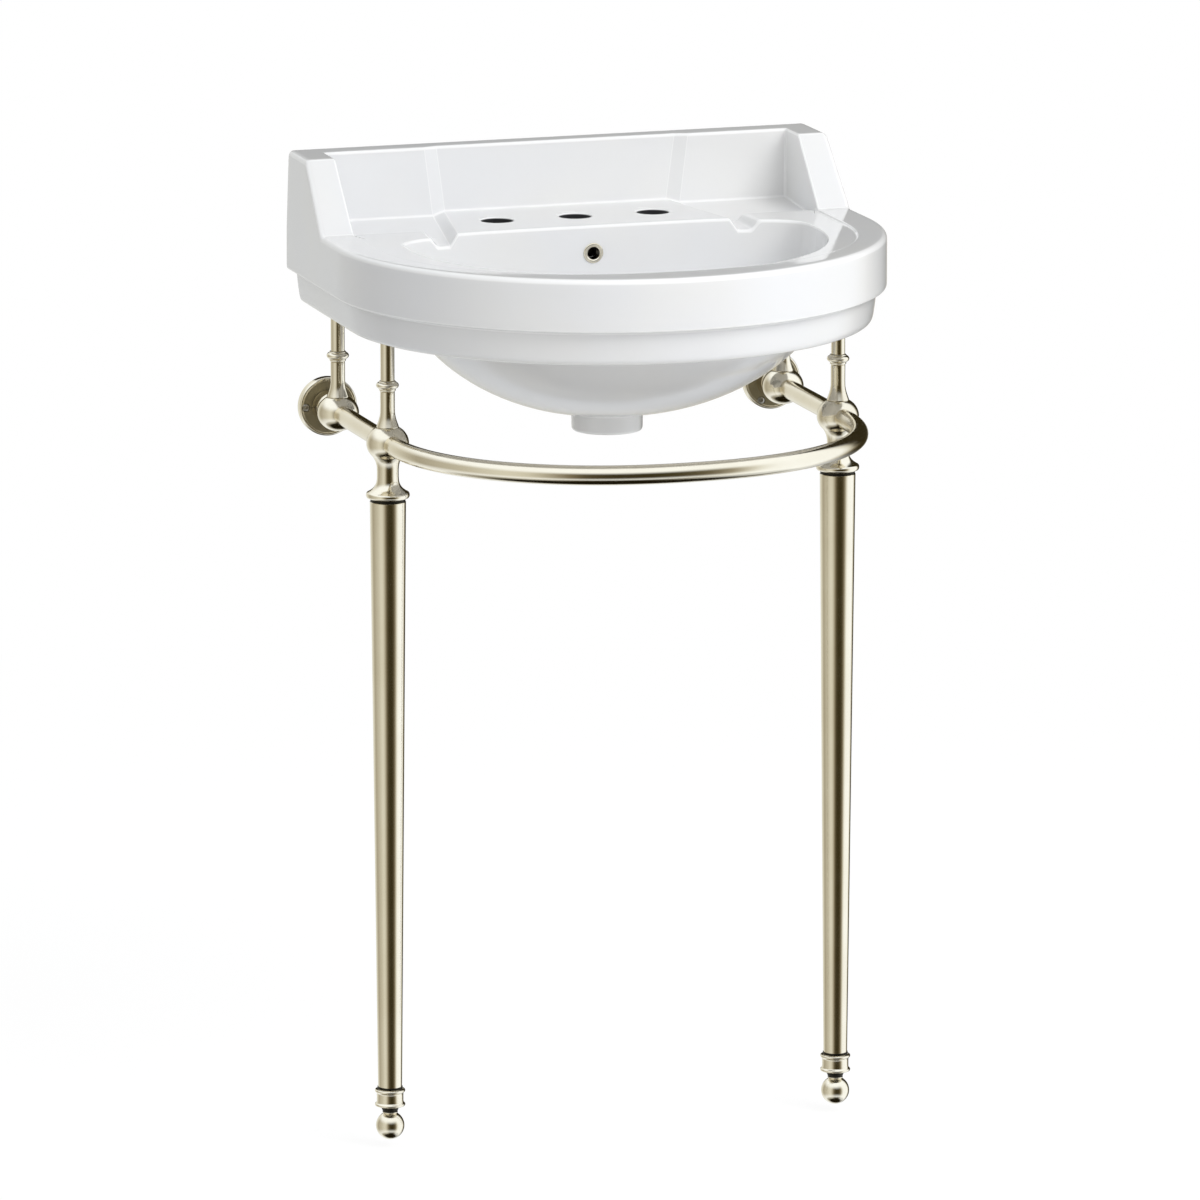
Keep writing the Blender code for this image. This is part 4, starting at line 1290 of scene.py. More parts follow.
    def stations(self, edge: Line) -> list[Station]:
        """List the key columns, from the back's middle to the end of the wing.

        Args:
            edge: The bowl's edge.

        Returns:
            The stations.
        """
        back, side, inner = self.centre_y, self.side_y, self.wing_inner
        half, top, foot, step = self.back_half, self.wing_top_y, self.wing_foot_y, self.ledge_y
        platform, spout, ledge, rim = Deck
        behind_bowl = (
            (0.0, (0.0, back), (0.0, back), 0.0, platform, True, 15),
            (0.1414, (0.1163, back), (0.1253, back), 0.1163 / half, platform, True, 1),
            (0.1422, (0.1170, back), (0.1260, back), 0.117 / half, platform, True, 1),
            (0.1430, (0.1177, -0.0222), (0.1267, -0.0222), 0.1177 / half, platform, True, 2),
            (0.1508, (0.1300, -0.0253), (0.1388, -0.0253), 0.130 / half, spout, True, 1),
            (0.1515, (0.1307, side), (0.1395, side), 0.131 / half, spout, True, 1),
            (0.1522, (0.1314, side), (0.1402, side), 0.1318 / half, spout, True, 2),
            (0.1650, (0.1500, side), (0.1570, side), 0.150 / half, spout, True, 2),
            (0.1720, (0.1580, side), (0.1650, side), 0.170 / half, ledge, False, 8),
            (0.1955, (0.2395, side), (0.2400, side), 0.262 / half, ledge, False, 1),
            (0.1985, (0.2430, side), (0.2435, side), 0.2745 / half, ledge, False, 1),
            (0.2000, (inner, side - 0.001), (inner, side - 0.001), 1.0, ledge, False, 1),
            (0.2010, (inner, side - 0.004), (inner, side - 0.004), 1.02, ledge, False, 4),
        )
        beside_bowl = (
            (-0.178, top + 0.003, ledge, 1), (-0.180, top, ledge, 1),
            (-0.182, top - 0.003, ledge, 5), (-0.199, step + 0.002, ledge, 1),
            (-0.200, step - 0.001, rim, 1), (-0.202, step - 0.004, rim, 1),
            (-0.2035, foot + 0.003, rim, 1), (-0.2055, foot, rim, 1),
            (-0.2080, foot - 0.003, rim, 7),
        )
        made = [Station(edge.until_x(x), *rest) for x, *rest in behind_bowl]
        for bowl_y, y, deck, count in beside_bowl:
            distance, outer = edge.until_y(bowl_y, 0.19), 1.0 - y / self.side_run
            made.append(Station(distance, (inner, y), (inner, y), outer, deck, False, count))
        return made

    def radii(self, outer: float, foot_y: float) -> Point:
        """Choose how round the top edge is.

        Args:
            outer: Where on the outline the column is.
            foot_y: The place of the foot of its wall.

        Returns:
            The inner and the outer radius.
        """
        if outer < self.splash_end:
            return self.splash_radii
        return self.wing_radii if foot_y >= self.wing_foot_y else self.rim_radii

    def columns(self) -> list[Column]:
        """Lay out the columns of the right half.

        Returns:
            The columns, from the back's middle to the front's middle.
        """
        edge, feet = self.bowl_curve(), self.foot_curve()
        stations = self.stations(edge)
        made: list[Column] = []
        for first, second in zip(stations, stations[1:]):
            for step in range(first.count):
                share = step / first.count
                foot = Vector(first.foot).lerp(Vector(second.foot), share)
                top = Vector(first.top).lerp(Vector(second.top), share)
                outer = first.outer + (second.outer - first.outer) * share
                bowl = edge.at(first.distance + (second.distance - first.distance) * share)
                decks, radii = (first.deck, second.deck), self.radii(outer, foot.y)
                made.append(Column(bowl, foot, top, outer, decks, share, first.bay, radii))
        last = stations[-1]
        wheres = [
            last.outer + (3.0 - last.outer) * step / self.front_steps
            for step in range(self.front_steps + 1)
        ]
        rim = Line([self.outline(where, 0.0) for where in wheres])
        start = self.recess_start
        for step in range(self.front_columns + 1):
            share = step / self.front_columns
            outer = wheres[rim.corner(rim.lengths[-1] * share)]
            foot = feet.at(start + (feet.lengths[-1] - start) * share)
            bowl = edge.at(last.distance + (edge.lengths[-1] - last.distance) * share)
            decks, radii = (last.deck, last.deck), self.radii(outer, foot.y)
            made.append(Column(bowl, foot, foot.copy(), outer, decks, 0.0, False, radii))
        return made

    def bowl_point(self, column: Column, share: float, bottom: float, wall: float) -> Place:
        """Find a point of the bowl's inside or outside.

        Args:
            column: The column that it belongs to.
            share: Its share of the depth.
            bottom: The depth.
            wall: How far outside the inner face it stands.

        Returns:
            The point.
        """
        outlet = Vector((0.0, -self.outlet_reach))
        ray = column.bowl - outlet
        inner, outer = self.bowl_fullness
        spread = (1 - min(share, 1.0) ** inner) ** outer
        reach = self.floor_radius + (ray.length - self.floor_radius) * spread + wall
        spot = outlet + ray.normalized() * reach
        return (spot.x, spot.y, -bottom * share)

    def round_outlet(self, column: Column, stations: Sequence[Point]) -> list[Place]:
        """Place the points of a profile that goes round the outlet.

        Args:
            column: The column, which gives the direction.
            stations: The profile, as (radius, height).

        Returns:
            The points.
        """
        outlet = Vector((0.0, -self.outlet_reach))
        ray = (column.bowl - outlet).normalized()
        return [(*(outlet + ray * radius), height) for radius, height in stations]

    def inside(self, column: Column) -> list[Place]:
        """Lay a column's points in the outlet and the bowl.

        Args:
            column: The column.

        Returns:
            The points, up to the lip.
        """
        points = self.round_outlet(column, self.seat)
        level = self.deck_height(column, column.bowl.y, False)
        start, last = (self.lip_radius - level) / self.bowl_depth, self.bowl_shares[-1]
        shares = [*self.bowl_shares, *(start + (last - start) * part for part in self.lip_shares)]
        points += [self.bowl_point(column, share, self.bowl_depth, 0.0) for share in shares]
        return points

    def deck(self, column: Column) -> list[Place]:
        """Lay a column's points over the deck.

        Args:
            column: The column.

        Returns:
            The points, from the bowl's lip to the foot of the wall.
        """
        path = column.foot - column.bowl
        length, way = path.length, path.normalized()
        radius = min(self.lip_radius, length * self.lip_most)
        level = self.deck_height(column, column.bowl.y, False)
        points: list[Place] = []
        for angle in self.lip_angles:
            out = radius * (1 - math.cos(math.radians(angle)))
            drop = self.lip_radius * (1 - math.sin(math.radians(angle)))
            points.append((*(column.bowl + way * out), level - drop))
        crossing = length * self.rim_crossing
        if column.foot.y > self.ledge_y:
            crossing = length * (column.bowl.y - self.ledge_y) / (column.bowl.y - column.foot.y)
        room, share = self.ledge_room
        crossing = min(crossing, length - min(room, length * share))
        margin, share = self.step_margin
        margin = min(margin, (crossing - radius) * share, (length - crossing) * share)
        fillet, share = self.foot_fillet
        fillet = min(fillet, (length - crossing) * share)
        span = crossing - margin - radius
        rest = length - fillet - crossing - margin
        front = [radius + span * share for share in self.deck_front_shares]
        front += [crossing - margin, crossing - margin * self.step_rounding]
        back = [crossing + margin * self.step_rounding, crossing + margin]
        back += [crossing + margin + rest * share for share in self.deck_back_shares]
        for distances, behind in ((front, False), (back, True)):
            for distance in distances:
                spot = column.bowl + way * distance
                points.append((*spot, self.deck_height(column, spot.y, behind)))
        return points

    def wall_and_top(self, column: Column) -> list[Place]:
        """Lay a column's points up the inner face and over the top edge.

        Args:
            column: The column.

        Returns:
            The points.
        """
        inner_radius, outer_radius = column.radii
        base = self.deck_height(column, column.foot.y, True)
        out = self.outline(column.outer, outer_radius + self.lean)
        crest_in = self.top_height(column.top.y if column.outer > self.splash_end else 0.0)
        crest_out = self.top_height(out.y)
        height = crest_in - base
        low = min(self.wall_fillet, height * 0.5)
        high = min(inner_radius, height * 0.5)
        across = out - column.top
        inward = across.normalized()
        round_in = min(inner_radius, across.length * self.crest_most)
        path = column.foot - column.bowl
        ease, share = self.wall_ease
        near = column.foot - path.normalized() * min(ease, path.length * share)
        points: list[Place] = [(*near, base + low * self.wall_start)]
        for share in self.wall_shares:
            z = base + low + (height - low - high) * share
            rise = (z - base) / max(height, 1e-6)
            points.append((*column.foot.lerp(column.top, rise), z))
        for angle in self.crest_angles:
            turned = math.radians(angle)
            spot = column.top + inward * round_in * (1 - math.cos(turned))
            points.append((*spot, crest_in - high * (1 - math.sin(turned))))
        start = column.top + inward * round_in
        for share in self.crest_shares:
            points.append((*start.lerp(out, share), crest_in + (crest_out - crest_in) * share))
        return points

    def outside(self, column: Column) -> list[Place]:
        """Lay a column's points down the outside.

        Args:
            column: The column.

        Returns:
            The points, from the top edge to the underside.
        """
        radius = column.radii[1]
        raised = column.outer <= 1.0 + -self.wing_foot_y / self.side_run
        crest = self.top_height(self.outline(column.outer, 0.0).y)
        lean = self.lean * (crest / self.splash_height) if raised else 0.0
        points: list[Place] = []
        for angle in self.edge_angles:
            turned = math.radians(angle)
            spot = self.outline(column.outer, radius * (1 - math.cos(turned)) + lean)
            if column.outer < 1.0 and angle == self.edge_angles[0]:
                spot.y = self.back_edge_y
            points.append((*spot, crest - radius * (1 - math.sin(turned))))
        low = points[-1][2]
        for share in self.side_shares:
            spot = self.outline(column.outer, lean * (1 - share))
            points.append((*spot, low + (self.side_level - low) * share))
        points += [(*self.outline(column.outer, inset), level) for inset, level in self.apron]
        return points

    def underneath(self, column: Column) -> list[Place]:
        """Lay a column's points under the basin: the floor or the tap bay, and the bowl.

        Args:
            column: The column.

        Returns:
            The points.
        """
        shell_depth = self.bowl_depth + self.wall
        edge = self.outline(column.outer, self.floor_inset)
        points: list[Place] = []
        if column.bay:
            deck, wall_y = self.bay_level, -self.wall
            (step, foot), (out, down) = self.bay_foot, self.bay_corner
            points += [
                (edge.x, wall_y + step, self.floor_level), (edge.x, wall_y, foot),
                (edge.x, wall_y, deck - down), (edge.x, wall_y - out, deck),
            ]
            upper = Vector(self.bowl_point(column, -deck / shell_depth, shell_depth, self.wall))
            points.append((upper.x, upper.y + self.bay_setback, deck))
            for drop in self.bay_drops:
                points.append(self.bowl_point(column, drop / shell_depth, shell_depth, self.wall))
        else:
            share = -self.floor_level / shell_depth
            meet = Vector(self.bowl_point(column, share, shell_depth, self.wall))
            start = Vector((edge.x, edge.y, self.floor_level))
            points += [tuple(start.lerp(meet, share)) for share in self.floor_shares]
            share, lift = self.shell_meeting
            points.append(tuple(start.lerp(meet, share) + Vector((0.0, 0.0, lift))))
        for share in self.shell_shares:
            points.append(self.bowl_point(column, share, shell_depth, self.wall))
        return points + self.round_outlet(column, self.boss)

    def cast(self) -> bpy.types.Object:
        """Build the casting's closed surface from its columns and smooth it.

        Returns:
            The casting, without its holes.
        """
        steps = (self.inside, self.deck, self.wall_and_top, self.outside, self.underneath)
        right = [[point for lay in steps for point in lay(column)] for column in self.columns()]
        left = [[(-x, y, z) for x, y, z in points] for points in right[-2:0:-1]]
        body = bmesh.new()
        grid = [[body.verts.new(point) for point in line] for line in right + left]
        for line, following in zip(grid, grid[1:] + grid[:1]):
            for index in range(len(line)):
                onward = (index + 1) % len(line)
                body.faces.new((line[index], following[index], following[onward], line[onward]))
        bmesh.ops.recalc_face_normals(body, faces=body.faces)
        mesh = bpy.data.meshes.new("china_basin")
        body.to_mesh(mesh)
        body.free()
        piece = bpy.data.objects.new("china_basin", mesh)
        bpy.context.scene.collection.objects.link(piece)
        apply_modifier(piece, "SUBSURF", levels=1, render_levels=1)
        return piece

    def hole_tool(self, x: float) -> bpy.types.Object:
        """Turn the tool for one tap hole, with a rounded mouth.

        Args:
            x: The hole's place across the basin.

        Returns:
            The tool.
        """
        rounding = self.tap_rounding
        wide, top, bottom = self.tap_radius + rounding, 0.004, -0.030
        mouth = oval((wide, -rounding), (rounding, rounding), 90.0, 180.0, 4)
        profile = [(0.0, top), (wide, top), *mouth, (self.tap_radius, bottom), (0.0, bottom)]
        return stand(turn("tap_hole_tool", profile), (x, -TAP_REACH, 0.0))

    def duct(self, radius: float, start: float, end: float) -> bpy.types.Object:
        """Bend a tube along the overflow channel.

        Args:
            radius: The tube's radius.
            start: The height where it starts.
            end: How far it runs towards the outlet's axis.

        Returns:
            The tube.
        """
        y = self.duct_setback - self.bowl_back
        points = [(0.0, y, start), (0.0, y, -0.130), (0.0, y, -0.145), (0.0, y - 0.001, -0.153)]
        points += [(0.0, y - 0.0055, -0.1765), (0.0, y - 0.0100, -0.1815), (0.0, end, -0.1840)]
        return tube("duct", points, radius, 7)

    def overflow_hole(self) -> bpy.types.Object:
        """Turn the tool for the overflow's mouth.

        Returns:
            The tool, which reaches from the bowl back into the channel.
        """
        mouth = -self.bowl_back - self.mouth_overrun
        length = self.duct_setback + self.mouth_overrun
        radius = self.overflow_radius
        profile = [(0.0, 0.0), (radius, 0.0), (radius, -length), (0.0, -length)]
        return stand(turn("overflow_tool", profile), (0.0, mouth, -OVERFLOW_DROP), Axis.OUT)

    def build(self, finishes: Finishes) -> None:
        """Build and dress the basin.

        Args:
            finishes: The sink's materials.
        """
        piece = self.cast()
        outlet_wall, outlet_bore = (reach - self.outlet_reach for reach in self.duct_ends)
        combine(piece, self.duct(self.duct_radius, self.duct_top, outlet_wall), "UNION")
        for place in (-1, 0, 1):
            combine(piece, self.hole_tool(TAP_PITCH * place))
        combine(piece, self.duct(self.duct_bore, -OVERFLOW_DROP, outlet_bore))
        combine(piece, self.overflow_hole())
        smooth(piece, self.smoothing)
        # Store the bends, along which the china's material paints highlights.
        mark_highlight_bends(piece, *self.highlight_bends)
        dress(piece, finishes.china, GlazedChina.slot, "basin")


# Stand


@dataclass
class Rail:
    """The U-shaped towel rail, one bent tube."""

    radius: float = 0.00975
    bend_reach: float = 0.235
    front_reach: float = 0.450
    power: float = 2.15
    end_y: float = -0.0323
    straight_y: float = -0.12
    bend_steps: int = 96
    fineness: int = 14
    weld: float = 0.00001

    def line(self) -> list[Place]:
        """Lay the rail's centre line.

        Returns:
            Its points, from the left rear ball round to the right one.
        """
        ends = [(-LEG_X, self.end_y, RAIL_Z), (-LEG_X, self.straight_y, RAIL_Z)]
        points: list[Place] = list(ends)
        for step in range(self.bend_steps + 1):
            angle = math.pi * (1 + step / self.bend_steps)
            across, along = math.cos(angle), math.sin(angle)
            x = math.copysign(abs(across) ** (2 / self.power), across) * LEG_X
            y = -abs(along) ** (2 / self.power) * (self.front_reach - self.bend_reach)
            points.append((x, y - self.bend_reach, RAIL_Z))
        points += [(-x, y, z) for x, y, z in reversed(ends)]
        return points

    def build(self, finishes: Finishes) -> None:
        """Build and dress the rail.

        Args:
            finishes: The sink's materials.
        """
        piece = tube("towel_tube", self.line(), self.radius, self.fineness)
        bpy.ops.object.mode_set(mode="EDIT")
        bpy.ops.mesh.select_all(action="SELECT")
        bpy.ops.mesh.remove_doubles(threshold=self.weld)
        bpy.ops.mesh.normals_make_consistent(inside=False)
        bpy.ops.object.mode_set(mode="OBJECT")
        smooth(piece)
        dress(piece, finishes.nickel_rail, PolishedNickel.slot, "towel_rail")


@dataclass
class Balls:
    """The ball fittings: front ones with a flared cap below, rear ones with a neck to the wall."""

    radius: float = 0.02125
    half_height: float = 0.0188
    top_rise: float = 0.01592
    # A line of painted shade on the cap's spigot, in the gap above the leg tube.
    cap_joint: Point = (RAIL_Z - 0.0590, RAIL_Z - 0.0556)

    def crown(self, end: float, steps: int) -> list[Point]:
        """Lay a ball's profile, from its flat top down.

        Args:
            end: The angle where it ends, in degrees up from the outward direction.
            steps: How many short lines it has.

        Returns:
            The points.
        """
        start = math.degrees(math.asin(self.top_rise / self.half_height))
        radii = (self.radius, self.half_height)
        return [(0.0, self.top_rise), *oval((0.0, 0.0), radii, start, end, steps)]

    def front(self) -> bpy.types.Object:
        """Turn a front ball with its neck and flared cap.

        Returns:
            The turned shape.
        """
        profile = self.crown(-46.0, 26)
        profile += curve_through(
            [
                profile[-1], (0.01245, -0.0180), (0.01120, -0.0225), (0.01085, -0.0270),
                (0.01085, -0.0340), (0.01125, -0.0385), (0.01250, -0.0422), (0.01490, -0.0455),
                (0.01800, -0.0480), (0.02030, -0.0494),
            ],
            4,
        )[1:]
        profile += oval((0.0200, -0.0522), (0.00175, 0.0029), 78.0, -70.0, 10)
        profile += [(0.0190, -0.0556), (0.0176, -0.0562), (0.0174, -0.0585), (0.0160, -0.0585)]
        profile += [(0.0160, -0.0780), (0.0, -0.0780)]
        return turn("front_ball_casting", profile)

    def rear(self) -> bpy.types.Object:
        """Turn a rear ball.

        Returns:
            The turned shape.
        """
        return turn("rear_ball_casting", [*self.crown(-88.0, 34), (0.0, -self.half_height)])

    def neck(self) -> bpy.types.Object:
        """Turn the neck that joins a rear ball to its wall flange.

        Returns:
            The turned shape.
        """
        profile = [(0.0, -0.0100), (0.0125, -0.0100), (0.0142, -0.0120)]
        profile += curve_through(
            [(0.0152, -0.0140), (0.0166, -0.0160), (0.0171, -0.0190), (0.0170, -0.0240),
             (0.0171, -0.0290), (0.0176, -0.0312)],
            4,
        )
        profile += [(0.0176, -0.0317), (0.0, -0.0317)]
        return turn("wall_neck", profile)

    def build(self, finishes: Finishes) -> None:
        """Build and dress the four balls.

        Args:
            finishes: The sink's materials.
        """
        front, rear, neck = self.front(), self.rear(), self.neck()
        for side in Side:
            x = LEG_X * side.value
            ball = set_out(front, f"front_ball_cap_{side.word}", (x, LEG_Y, RAIL_Z))
            dress(ball, finishes.nickel_cap, PolishedNickel.slot, f"front_ball_{side.word}")
            back = stand(copy_of(rear, f"rear_ball_neck_{side.word}"), (x, REAR_Y, RAIL_Z))
            stub = stand(copy_of(neck, "stub"), (x, REAR_Y, RAIL_Z), Axis.OUT)
            combine(back, stub, "UNION")
            smooth(back)
            dress(back, finishes.nickel, PolishedNickel.slot, f"rear_ball_{side.word}")
        discard(front, rear, neck)


@dataclass
class Flanges:
    """The round wall plates and their screws."""

    circle: float = 0.0237
    screws: int = 3
    screw_y: float = -0.0092

    def plate(self) -> bpy.types.Object:
        """Turn a wall plate, with a raised rounded rim and a shallow dish inside it.

        Returns:
            The turned shape.
        """
        profile = [(0.0083, 0.0094)]
        profile += curve_through(
            [(0.0180, 0.0094), (0.0240, 0.0092), (0.0262, 0.0090), (0.0270, 0.0093)], 4
        )
        profile += oval((0.0278, 0.0078), (0.0022, 0.0022), 100.0, 0.0, 10)
        profile += [(0.0300, 0.0008), (0.0292, 0.0), (0.0083, 0.0)]
        return turn("wall_plate", profile, closed=True, steps=96)

    def screw(self) -> bpy.types.Object:
        """Turn a countersunk screw head and cut its six-sided socket.

        Returns:
            The finished shape.
        """
        profile = [(0.0, 0.0004), (0.0022, 0.0003), (0.0033, -0.0001), (0.0037, -0.0005)]
        profile += [(0.0020, -0.0026), (0.0020, -0.0092), (0.0, -0.0092)]
        head = turn("plate_screw", profile, steps=32)
        deselect()
        bpy.ops.mesh.primitive_cylinder_add(vertices=6, radius=0.0017, depth=0.0030)
        combine(head, bpy.context.object)
        return head

    def seat(self) -> bpy.types.Object:
        """Turn the tool for a screw's countersunk hole.

        Returns:
            The turned shape.
        """
        profile = [(0.0, 0.004), (0.0044, 0.004), (0.0044, 0.0002), (0.0023, -0.0030)]
        return turn("screw_seat", [*profile, (0.0023, -0.014), (0.0, -0.014)], steps=32)

    def build(self, finishes: Finishes) -> None:
        """Build and dress both plates and their six screws.

        Args:
            finishes: The sink's materials.
        """
        plate, screw, hole = self.plate(), self.screw(), self.seat()
        for side in Side:
            x = LEG_X * side.value
            face = stand(copy_of(plate, f"wall_plate_{side.word}"), (x, 0.0, RAIL_Z), Axis.OUT)
            for index in range(self.screws):
                angle = math.tau * index / self.screws
                across = self.circle * math.cos(angle) * side.value
                place = (x + across, self.screw_y, RAIL_Z + self.circle * math.sin(angle))
                combine(face, stand(copy_of(hole, "seat"), place, Axis.OUT))
                tail = f"screw_{side.word}_{index + 1}"
                head = set_out(screw, f"plate_{tail}", place, Axis.OUT)
                dress(head, finishes.steel, TurnedSteel.slot, f"flange_{tail}")
            smooth(face)
            dress(face, finishes.nickel_plate, PolishedNickel.slot, f"wall_flange_{side.word}")
        discard(plate, screw, hole)


@dataclass
class Supports:
    """The four supports under the basin: post, collar, pin and pad."""

    base: float = RAIL_Z + 0.01592 + 0.0003
    post_length: float = 0.0361
    collar_height: float = 0.0100
    pad_bottom: float = -0.088 - 0.0026
    gap: float = 0.0003

    def post(self) -> bpy.types.Object:
        """Turn a post with its flared foot.

        Returns:
            The turned shape.
        """
        top = self.post_length
        profile = [(0.0, top), (0.0066, top), (0.00715, 0.0357)]
        profile += curve_through(
            [(0.00725, 0.0345), (0.00722, 0.0260), (0.00722, 0.0180), (0.00745, 0.0135),
             (0.00830, 0.0090), (0.00955, 0.0050), (0.01070, 0.0018), (0.01115, 0.0006)],
            4,
        )
        profile += [(0.01105, 0.0), (0.0, 0.0)]
        return turn("post_turning", profile)

    def collar(self) -> bpy.types.Object:
        """Turn a collar: a full bead between two thin lips.

        Returns:
            The turned shape.
        """
        top = self.collar_height
        profile = [(0.0, top), (0.0080, top), (0.0084, 0.0096), (0.0084, 0.0090)]
        profile += oval((0.0074, 0.0057), (0.00385, 0.0033), 72.0, -66.0, 16)
        profile += curve_through([(0.0088, 0.0024), (0.0083, 0.0019), (0.0083, 0.0012)], 3)
        profile += [(0.0081, 0.0004), (0.0077, 0.0), (0.0, 0.0)]
        return turn("collar_turning", profile)

    def pin(self, top: float) -> bpy.types.Object:
        """Turn a pin.

        Args:
            top: Its height.

        Returns:
            The turned shape.
        """
        profile = [(0.0, top), (0.0067, top), (0.0070, top - 0.0004)]
        return turn("pin_turning", [*profile, (0.0070, 0.0004), (0.0067, 0.0), (0.0, 0.0)])

    def pad(self) -> bpy.types.Object:
        """Turn a rubber pad with a round edge.

        Returns:
            The turned shape.
        """
        edge = oval((0.0080, 0.0010), (0.0010, 0.0010), 90.0, -90.0, 8)
        return turn("pad_moulding", [(0.0, 0.0020), *edge, (0.0, 0.0)])

    def build(self, finishes: Finishes) -> None:
        """Build and dress the sixteen pieces.

        Args:
            finishes: The sink's materials.
        """
        post, collar = self.post(), self.collar()
        collar_low = self.base + self.post_length + self.gap
        pin_low = self.base + self.post_length + self.collar_height + 2 * self.gap
        pin, pad = self.pin(self.pad_bottom - pin_low), self.pad()
        metal = (finishes.nickel, PolishedNickel.slot)
        rubber = (finishes.rubber, MouldedRubber.slot)
        stack = (
            (post, "post_turned", "post", self.base, metal),
            (collar, "collar_turned", "post_collar", collar_low, metal),
            (pin, "pin_turned", "support_pin", pin_low, metal),
            (pad, "pad_moulded", "support_pad", self.pad_bottom + self.gap, rubber),
        )
        for side in Side:
            for row, y in (("front", LEG_Y), ("rear", REAR_Y)):
                word = f"{row}_{side.word}"
                for shape, name, node, z, finish in stack:
                    piece = set_out(shape, f"{name}_{word}", (LEG_X * side.value, y, z))
                    dress(piece, *finish, f"{node}_{word}")
        discard(post, collar, pin, pad)


@dataclass
class Legs:
    """The tapered leg tubes, with the bushes in their lower ends."""

    top: float = RAIL_Z - 0.0588
    foot: float = FLOOR_Z + 0.042
    top_radius: float = 0.0180
    foot_radius: float = 0.0119
    wall: float = 0.0012
    edge: float = 0.0004
    stretch: float = 0.06

    def tapered(self) -> bpy.types.Object:
        """Turn a leg tube.

        Returns:
            The turned shape.
        """
        taper = (self.top_radius - self.foot_radius) / (self.top - self.foot)
        levels = (self.top - self.edge, *(self.top - self.stretch * n for n in range(1, 10)))
        profile = [(self.top_radius - self.edge, self.top)]
        profile += [(self.foot_radius + taper * (z - self.foot), z) for z in levels]
        profile += [
            (self.foot_radius, self.foot + self.edge),
            (self.foot_radius - self.edge, self.foot),
            (self.foot_radius - self.wall, self.foot),
            (self.top_radius - self.wall, self.top),
        ]
        return turn("leg_turning", profile, closed=True, steps=96)

    def build(self, finishes: Finishes) -> None:
        """Build and dress both tubes, and dress the bushes inside them.

        Args:
            finishes: The sink's materials.
        """
        shape = self.tapered()
        for side in Side:
            leg = set_out(shape, f"leg_tapered_{side.word}", (LEG_X * side.value, LEG_Y, 0.0))
            dress(leg, finishes.nickel, PolishedNickel.slot, f"leg_tube_{side.word}")
            redress(f"leg_bush_{side.word}", finishes.steel)
        discard(shape)


@dataclass
class Feet:
    """The levelling feet: a two-lipped collar and a ball on a threaded stud."""

    collar_low: float = FLOOR_Z + 0.034
    collar_high: float = FLOOR_Z + 0.0513
    lip: float = 0.01525
    waist: float = 0.01345
    cup: float = 0.0128
    ring: float = 0.0026
    # Painted shade on the collar's inner ring, in the gap round the leg tube.
    ring_joint: Point = (collar_high, collar_high + 2 * ring)
    # Painted shade round the foot's neck, under the collar.
    neck_joint: Point = (FLOOR_Z + 0.0276, FLOOR_Z + 0.0345)
    ball_radius: float = 0.01425
    flat_radius: float = 0.0040
    neck_radius: float = 0.0069
    bore: float = 0.0043

    def collar(self) -> bpy.types.Object:
        """Turn a foot collar: a waisted cup with a rounded lip at each end.

        Returns:
            The turned shape.
        """
        low, high = self.collar_low, self.collar_high
        profile = [(0.01222, high - 0.0008), (0.01222, high + self.ring)]
        profile += [(0.0126, high + self.ring), (0.0126, high - 0.0006)]
        profile += oval((self.lip - 0.0013, high - 0.0015), (0.0013, 0.0015), 150.0, -62.0, 12)
        profile += curve_through(
            [(self.waist + 0.0004, high - 0.0035), (self.waist, high - 0.0048),
             (self.waist - 0.0001, (low + high) / 2), (self.waist, low + 0.0048),
             (self.waist + 0.0004, low + 0.0035)],
            4,
        )
        profile += oval((self.lip - 0.0013, low + 0.0015), (0.0013, 0.0015), 62.0, -90.0, 10)
        profile += [(self.bore, low), (self.bore, low + 0.004), (self.cup, low + 0.004)]
        return turn("foot_collar_turning", profile, closed=True, steps=72)

    def ball(self) -> bpy.types.Object:
        """Turn a foot: its ball, the bead over it and the tapered neck.

        Returns:
            The turned shape.
        """
        top, radius = self.collar_low - 0.0003 - FLOOR_Z, self.ball_radius
        profile = [(self.bore, top), (0.0094, top)]
        profile += curve_through(
            [(0.0094, top - 0.0004), (0.0084, top - 0.0028), (0.00745, top - 0.0055)], 4
        )
        profile += oval((0.0070, 0.02745), (0.00075, 0.0007), 80.0, -70.0, 8)
        start = math.degrees(math.acos(self.neck_radius / radius))
        end = -math.degrees(math.acos(self.flat_radius / radius))
        centre = math.sqrt(radius**2 - self.flat_radius**2)
        profile += oval((0.0, centre), (radius, radius), start, end, 34)
        profile += [(0.0, 0.0), (0.0, 0.018), (self.bore, 0.018)]
        return turn("foot_turning", profile, closed=True, steps=72)

    def build(self, finishes: Finishes) -> None:
        """Build and dress both feet, and dress their studs.

        Args:
            finishes: The sink's materials.
        """
        collar, ball = self.collar(), self.ball()
        for side in Side:
            x, body, word = LEG_X * side.value, f"foot_{side.word}", side.word
            ring = set_out(collar, f"foot_cup_{word}", (x, LEG_Y, 0.0))
            dress(ring, finishes.nickel_cup, PolishedNickel.slot, f"foot_collar_{word}", body)
            foot = set_out(ball, f"foot_turned_{word}", (x, LEG_Y, FLOOR_Z))
            dress(foot, finishes.nickel_foot, PolishedNickel.slot, f"foot_ball_{word}", body)
            redress(f"foot_stud_{word}", finishes.steel)
        discard(collar, ball)


